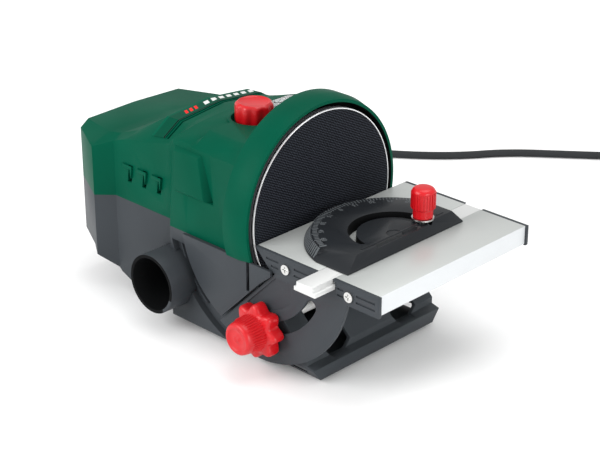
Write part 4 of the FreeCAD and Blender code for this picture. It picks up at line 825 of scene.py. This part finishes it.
# %% Lock knob's place
LOCK_LOBES, LOCK_FLUTES, LOCK_STEPS = 8, 40, 320
DIAL_HOLLOWS, DIAL_STEPS = 10, 160
LOBED_SMOOTH_ANGLE = 50
lock_low, lock_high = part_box("lock_knob")
lock_axis = Vector(((lock_low.x + lock_high.x) / 2, lock_high.y, (lock_low.z + lock_high.z) / 2))
lock_length = (lock_high.y - lock_low.y) / MM
star_radius = (lock_high.z - lock_low.z) / 2 / MM


# %% Lock knob and speed dial
def lobed_mesh(name, profile, placing, lobes, flutes, steps):
    """Rings of (radius, height, lobe depth, flute depth) in millimetres about +Z, then placed by a matrix."""
    bm = bmesh.new()
    rings = []
    for radius, height, lobe, flute in profile:
        ring = []
        for i in range(steps):
            angle = 2 * math.pi * i / steps
            dip = 0.5 - 0.5 * math.cos(lobes * angle)
            reach = radius - lobe * dip - flute * (0.5 - 0.5 * math.cos(flutes * angle))
            ring.append(bm.verts.new((reach * MM * math.cos(angle), reach * MM * math.sin(angle),
                                      height * MM)))
        rings.append(ring)
    for low, high in zip(rings, rings[1:]):
        for i in range(steps):
            j = (i + 1) % steps
            bm.faces.new((low[i], low[j], high[j], high[i]))
    bm.faces.new(rings[0])
    bm.faces.new(rings[-1])
    bmesh.ops.recalc_face_normals(bm, faces=bm.faces)
    bm.transform(placing)
    mesh = bpy.data.meshes.new(name)
    bm.to_mesh(mesh)
    bm.free()
    shade_smooth(mesh, LOBED_SMOOTH_ANGLE)
    return mesh


lock_rows = [(star_radius - 1.5, 0, 3.6, 0), (star_radius - 0.5, 0.5, 3.8, 0), (star_radius, 1.6, 4, 0),
             (star_radius, 7.2, 4, 0), (star_radius - 0.5, 8.6, 3.8, 0), (star_radius - 1.8, 9.5, 3.4, 0),
             (12.6, 9.9, 0, 0), (12.3, 10.1, 0, 0.7), (12.2, 11, 0, 0.8), (11.3, lock_length - 6, 0, 0.8),
             (11.1, lock_length - 4.6, 0, 0), (10.8, lock_length - 2.4, 0, 0), (10.4, lock_length - 1, 0, 0),
             (9.6, lock_length - 0.2, 0, 0), (8.8, lock_length, 0, 0), (7.8, lock_length - 0.2, 0, 0),
             (7.2, lock_length - 0.9, 0, 0), (1.9, lock_length - 1.1, 0, 0), (1.5, lock_length - 0.7, 0, 0),
             (0.6, lock_length - 0.5, 0, 0)]
to_near_side = Matrix.Translation(lock_axis) @ Matrix.Rotation(math.pi / 2, 4, "X")
lock_mesh = lobed_mesh("lock_knob_soft", lock_rows, to_near_side, LOCK_LOBES, LOCK_FLUTES, LOCK_STEPS)
lock_piece = add_piece("lock_knob_soft", lock_mesh, BODY_OF["lock_knob"], red)
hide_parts("lock_knob")
dial_low, dial_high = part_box("speed_dial")
dial_radius = (dial_high.x - dial_low.x) / 2 / MM
dial_height = (dial_high.z - dial_low.z) / MM
DIAL_GRIP = 0.9
dial_rows = [(dial_radius - 1, 0, DIAL_GRIP, 0), (dial_radius, 0.9, DIAL_GRIP, 0),
             (dial_radius, dial_height - 2.6, DIAL_GRIP, 0), (dial_radius - 0.5, dial_height - 1.4, 0.5, 0),
             (dial_radius - 1.6, dial_height - 0.4, 0.1, 0), (dial_radius - 2.4, dial_height, 0, 0),
             (dial_radius - 3.3, dial_height - 0.5, 0, 0), (dial_radius - 4.2, dial_height - 0.9, 0, 0),
             (0.6, dial_height - 1, 0, 0)]
dial_base = Matrix.Translation(((dial_low.x + dial_high.x) / 2, (dial_low.y + dial_high.y) / 2, dial_low.z))
dial_mesh = lobed_mesh("speed_dial_soft", dial_rows, dial_base, DIAL_HOLLOWS, 0, DIAL_STEPS)
dial_piece = add_piece("speed_dial_soft", dial_mesh, BODY_OF["speed_dial"], red)
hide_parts("speed_dial")
print("dial", round(dial_radius, 2), "by", round(dial_height, 2), "mm; lock knob", round(star_radius, 2),
      "by", round(lock_length, 2), "mm, faces", len(lock_piece.data.polygons))

# %% [markdown]
# The mitre gauge's knob is a ribbed cap with a rounded top over a narrower plain neck, bored for its stud.

# %% Mitre knob
knob_low, knob_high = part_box("mitre_knob")
knob_axis = Vector(((knob_low.x + knob_high.x) / 2, (knob_low.y + knob_high.y) / 2, knob_low.z))
knob_height = (knob_high.z - knob_low.z) / MM
knob_radius = (knob_high.x - knob_low.x) / 2 / MM
BORE, BORE_DEPTH = 2.6, 12.7
KNOB_STEPS = 72
CAP_INSET, CAP_ROUND_ACROSS, CAP_ROUND_UP, CAP_ARC_STEPS = 0.45, 4.2, 3.1, 6
cap_foot = knob_height - 3.4
knob_profile = [(0, BORE_DEPTH), (BORE, BORE_DEPTH), (BORE, 0), (knob_radius - 2, 0),
                (knob_radius - 1.6, 0.5), (knob_radius - 1.6, 5.5), (knob_radius - 0.9, 6),
                (knob_radius - CAP_INSET, 6.5)]
for step in range(CAP_ARC_STEPS + 1):
    angle = math.pi / 2 * step / CAP_ARC_STEPS
    knob_profile.append((knob_radius - CAP_INSET - CAP_ROUND_ACROSS * (1 - math.cos(angle)),
                         cap_foot + CAP_ROUND_UP * math.sin(angle)))
knob_profile.append((0, knob_height))
knob_mesh = turned_mesh("mitre_knob_soft", knob_profile, Matrix.Translation(knob_axis), KNOB_STEPS)
knob_piece = add_piece("mitre_knob_soft", knob_mesh, BODY_OF["mitre_knob"], red)
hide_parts("mitre_knob")
RIB_COUNT = 26
ring_of_bars("mitre_knob_ribs", BODY_OF["mitre_knob"], knob_axis, red, Count=RIB_COUNT,
             Step=360 / RIB_COUNT, Radius=knob_radius - CAP_INSET, Height=knob_height / 2 + 1.6,
             Length=knob_height - 10.2, Width=0.9, Depth=0.8)
print("knob", round(knob_radius, 2), "by", round(knob_height, 2), "mm")

# %% [markdown]
# The mitre gauge's head has a raised mark every two and a half degrees. The marks run down its sloping rim
# and a short way over the flat top, with generic degree numbers inside them.

# %% Scale
head_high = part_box("mitre_head")[1]
pivot = Vector((JOINT_AT["gauge_swivel"].x, JOINT_AT["gauge_swivel"].y, 0))
RIM_LOW, RIM_HIGH = 56.0, 51.5
RIM_FOOT, HEAD_HEIGHT = 0.8, 8
rim_lean = math.degrees(math.atan2(RIM_LOW - RIM_HIGH, HEAD_HEIGHT - RIM_FOOT))
SCALE_START, SCALE_STEP, SCALE_COUNT = 110, 2.5, 57
head_top = head_high.z / MM
# The marks take the lighter grey, a painted highlight.
ring_of_bars("scale_rim_marks", "gauge_head", pivot, marks_painted_highlight, Count=SCALE_COUNT,
             Start=SCALE_START, Step=SCALE_STEP, Radius=(RIM_LOW + RIM_HIGH) / 2,
             Height=head_top - (HEAD_HEIGHT - RIM_FOOT) / 2, Length=7, Width=0.8, Depth=0.9,
             Lean=-rim_lean)
ring_of_bars("scale_top_marks", "gauge_head", pivot, marks_painted_highlight, Count=SCALE_COUNT,
             Start=SCALE_START, Step=SCALE_STEP, Radius=RIM_HIGH - 2.2, Height=head_top - 0.1,
             Length=3, Width=0.6, Depth=0.6, Lean=90, **{"Long Every": 4, "Long Factor": 1.5})
print("marks", SCALE_COUNT, "rim lean", round(rim_lean, 1))


NUMBERS = (60, 45, 30, 15, 0, 15, 30, 45, 60)
NUMBER_START, NUMBER_STEP = 120, 15
NUMBER_RADIUS, NUMBER_HEIGHT, NUMBER_DEPTH = 45.6, 4.6, 0.2


def word(name, text, height, body, material, matrix):
    """A short number as raised plain mesh; the matrix places it in the frame."""
    curve = bpy.data.curves.new(name, "FONT")
    curve.body = text
    curve.size = height * MM
    curve.extrude = NUMBER_DEPTH / 2 * MM
    curve.align_x = "CENTER"
    curve.align_y = "CENTER"
    curve.resolution_u = 3
    source = bpy.data.objects.new(name + "_text", curve)
    bpy.context.collection.objects.link(source)
    graph = bpy.context.evaluated_depsgraph_get()
    mesh = bpy.data.meshes.new_from_object(source.evaluated_get(graph), depsgraph=graph)
    bpy.data.objects.remove(source)
    mesh.transform(matrix)
    return add_piece(name, mesh, body, material)


# The numbers take the same lighter grey, a painted highlight.
for step, number in enumerate(NUMBERS):
    angle = math.radians(NUMBER_START + NUMBER_STEP * step)
    place = pivot + Vector((math.cos(angle), math.sin(angle), 0)) * NUMBER_RADIUS * MM
    place.z = head_high.z
    word(f"scale_number_{step}", str(number), NUMBER_HEIGHT, "gauge_head", marks_painted_highlight,
         Matrix.Translation(place) @ Matrix.Rotation(angle + math.pi / 2, 4, "Z"))

# %% [markdown]
# The gauge's top has a raised line along its fence edge, which stops on each side of the knob's washer. One
# thin curved rib stands on the side of the lower casing, behind the quadrant.

# %% Raised lines
RAIL_TAPER = 0.6
FENCE_INSET, FENCE_SINK = 7.2, 0.3
FENCE_SPANS = ((-34, 17), (36, 42))
RIB_FOOT, RIB_RADIUS, RIB_FROM, RIB_TO, RIB_STEP = -58, 76, 186, 231, 2
TOWARDS_NEAR = Vector((0, -1, 0))
UPWARDS = Vector((0, 0, 1))


def rail(name, points, width, height, side, body, material):
    """A low bar of rectangular section that follows the points; side is the direction it stands up in."""
    bm = bmesh.new()
    rows = []
    for i, point in enumerate(points):
        ahead = (points[min(i + 1, len(points) - 1)] - points[max(i - 1, 0)]).normalized()
        across = ahead.cross(side).normalized() * width / 2 * MM
        rise = side * height * MM
        rows.append([bm.verts.new(point + offset) for offset in
                     (-across, across, across * RAIL_TAPER + rise, -across * RAIL_TAPER + rise)])
    for low, high in zip(rows, rows[1:]):
        for i in range(4):
            j = (i + 1) % 4
            bm.faces.new((low[i], low[j], high[j], high[i]))
    for row in (rows[0], rows[-1]):
        bm.faces.new(row)
    bmesh.ops.recalc_face_normals(bm, faces=bm.faces)
    mesh = bpy.data.meshes.new(name)
    bm.to_mesh(mesh)
    bm.free()
    shade_smooth(mesh)
    return add_piece(name, mesh, body, material)


fence_x = head_high.x - FENCE_INSET * MM
fence_z = head_high.z - FENCE_SINK * MM
for part, span in enumerate(FENCE_SPANS):
    rail(f"gauge_fence_line_{part}", [Vector((fence_x, y * MM, fence_z)) for y in span], 1.4, 0.7, UPWARDS,
         "gauge_head", head_grey)
tilt_axis = JOINT_AT["table_tilt"]
rib_line = []
for degree in range(RIB_FROM, RIB_TO, RIB_STEP):
    angle = math.radians(degree)
    rib_line.append(Vector((tilt_axis.x + RIB_RADIUS * MM * math.cos(angle), RIB_FOOT * MM,
                            tilt_axis.z + RIB_RADIUS * MM * math.sin(angle))))
rail("casing_arc_rib", rib_line, 2.0, 1.8, TOWARDS_NEAR, "machine", dark)

# %% [markdown]
# A raised panel with sloped edges stands on each side of the upper casing, in front of the vents. Its corners
# are (behind the disc, from the middle, above the bench) in millimetres.

# %% Side panels
PANEL_FOOT = ((-77, 56.5, 93), (-40, 56.5, 93), (-49.5, 55, 127.5), (-77.5, 55, 127.5))
PANEL_TOP = ((-73, 62.4, 97.5), (-45.5, 62.4, 97.5), (-52.5, 60.2, 124), (-74.5, 60.2, 124))
PANEL_EDGE = 0.5


def panel(name, outer, inner, material):
    """A raised panel from an outer ring on the casing's side to a smaller inner ring further out."""
    bm = bmesh.new()
    foot = [bm.verts.new(Vector(point) * MM) for point in outer]
    top = [bm.verts.new(Vector(point) * MM) for point in inner]
    count = len(foot)
    for i in range(count):
        j = (i + 1) % count
        bm.faces.new((foot[i], foot[j], top[j], top[i]))
    bm.faces.new(top)
    bm.faces.new(foot)
    bmesh.ops.recalc_face_normals(bm, faces=bm.faces)
    mesh = bpy.data.meshes.new(name)
    bm.to_mesh(mesh)
    bm.free()
    piece = bpy.data.objects.new(name, mesh)
    bpy.context.collection.objects.link(piece)
    bevel = piece.modifiers.new("edge_radius", "BEVEL")
    bevel.width = PANEL_EDGE * MM
    bevel.segments = 2
    piece.data = baked(piece)
    shade_smooth(piece.data)
    dress(piece, material)
    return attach(piece, "machine")


for side in (-1, 1):
    outer = [(x, side * y, z) for x, y, z in PANEL_FOOT]
    inner = [(x, side * y, z) for x, y, z in PANEL_TOP]
    panel(f"side_panel_{side}", outer, inner, green)

# %% [markdown]
# ## Floor
# A broad pale sheet under the machine takes its soft shadow.

# %% Floor
floor_mesh = bpy.data.meshes.new("floor")
FLOOR = 6
floor_mesh.from_pydata([(-FLOOR, -FLOOR, 0), (FLOOR, -FLOOR, 0), (FLOOR, FLOOR, 0), (-FLOOR, FLOOR, 0)], [],
                       [(0, 1, 2, 3)])
floor = bpy.data.objects.new("floor", floor_mesh)
bpy.context.collection.objects.link(floor)
floor_white = bpy.data.materials.new("floor_white")
floor_white.use_nodes = True
floor_white.node_tree.nodes["Principled BSDF"].inputs["Base Color"].default_value = (0.95, 0.95, 0.95, 1)
floor_white.node_tree.nodes["Principled BSDF"].inputs["Roughness"].default_value = 0.7
dress(floor, floor_white)
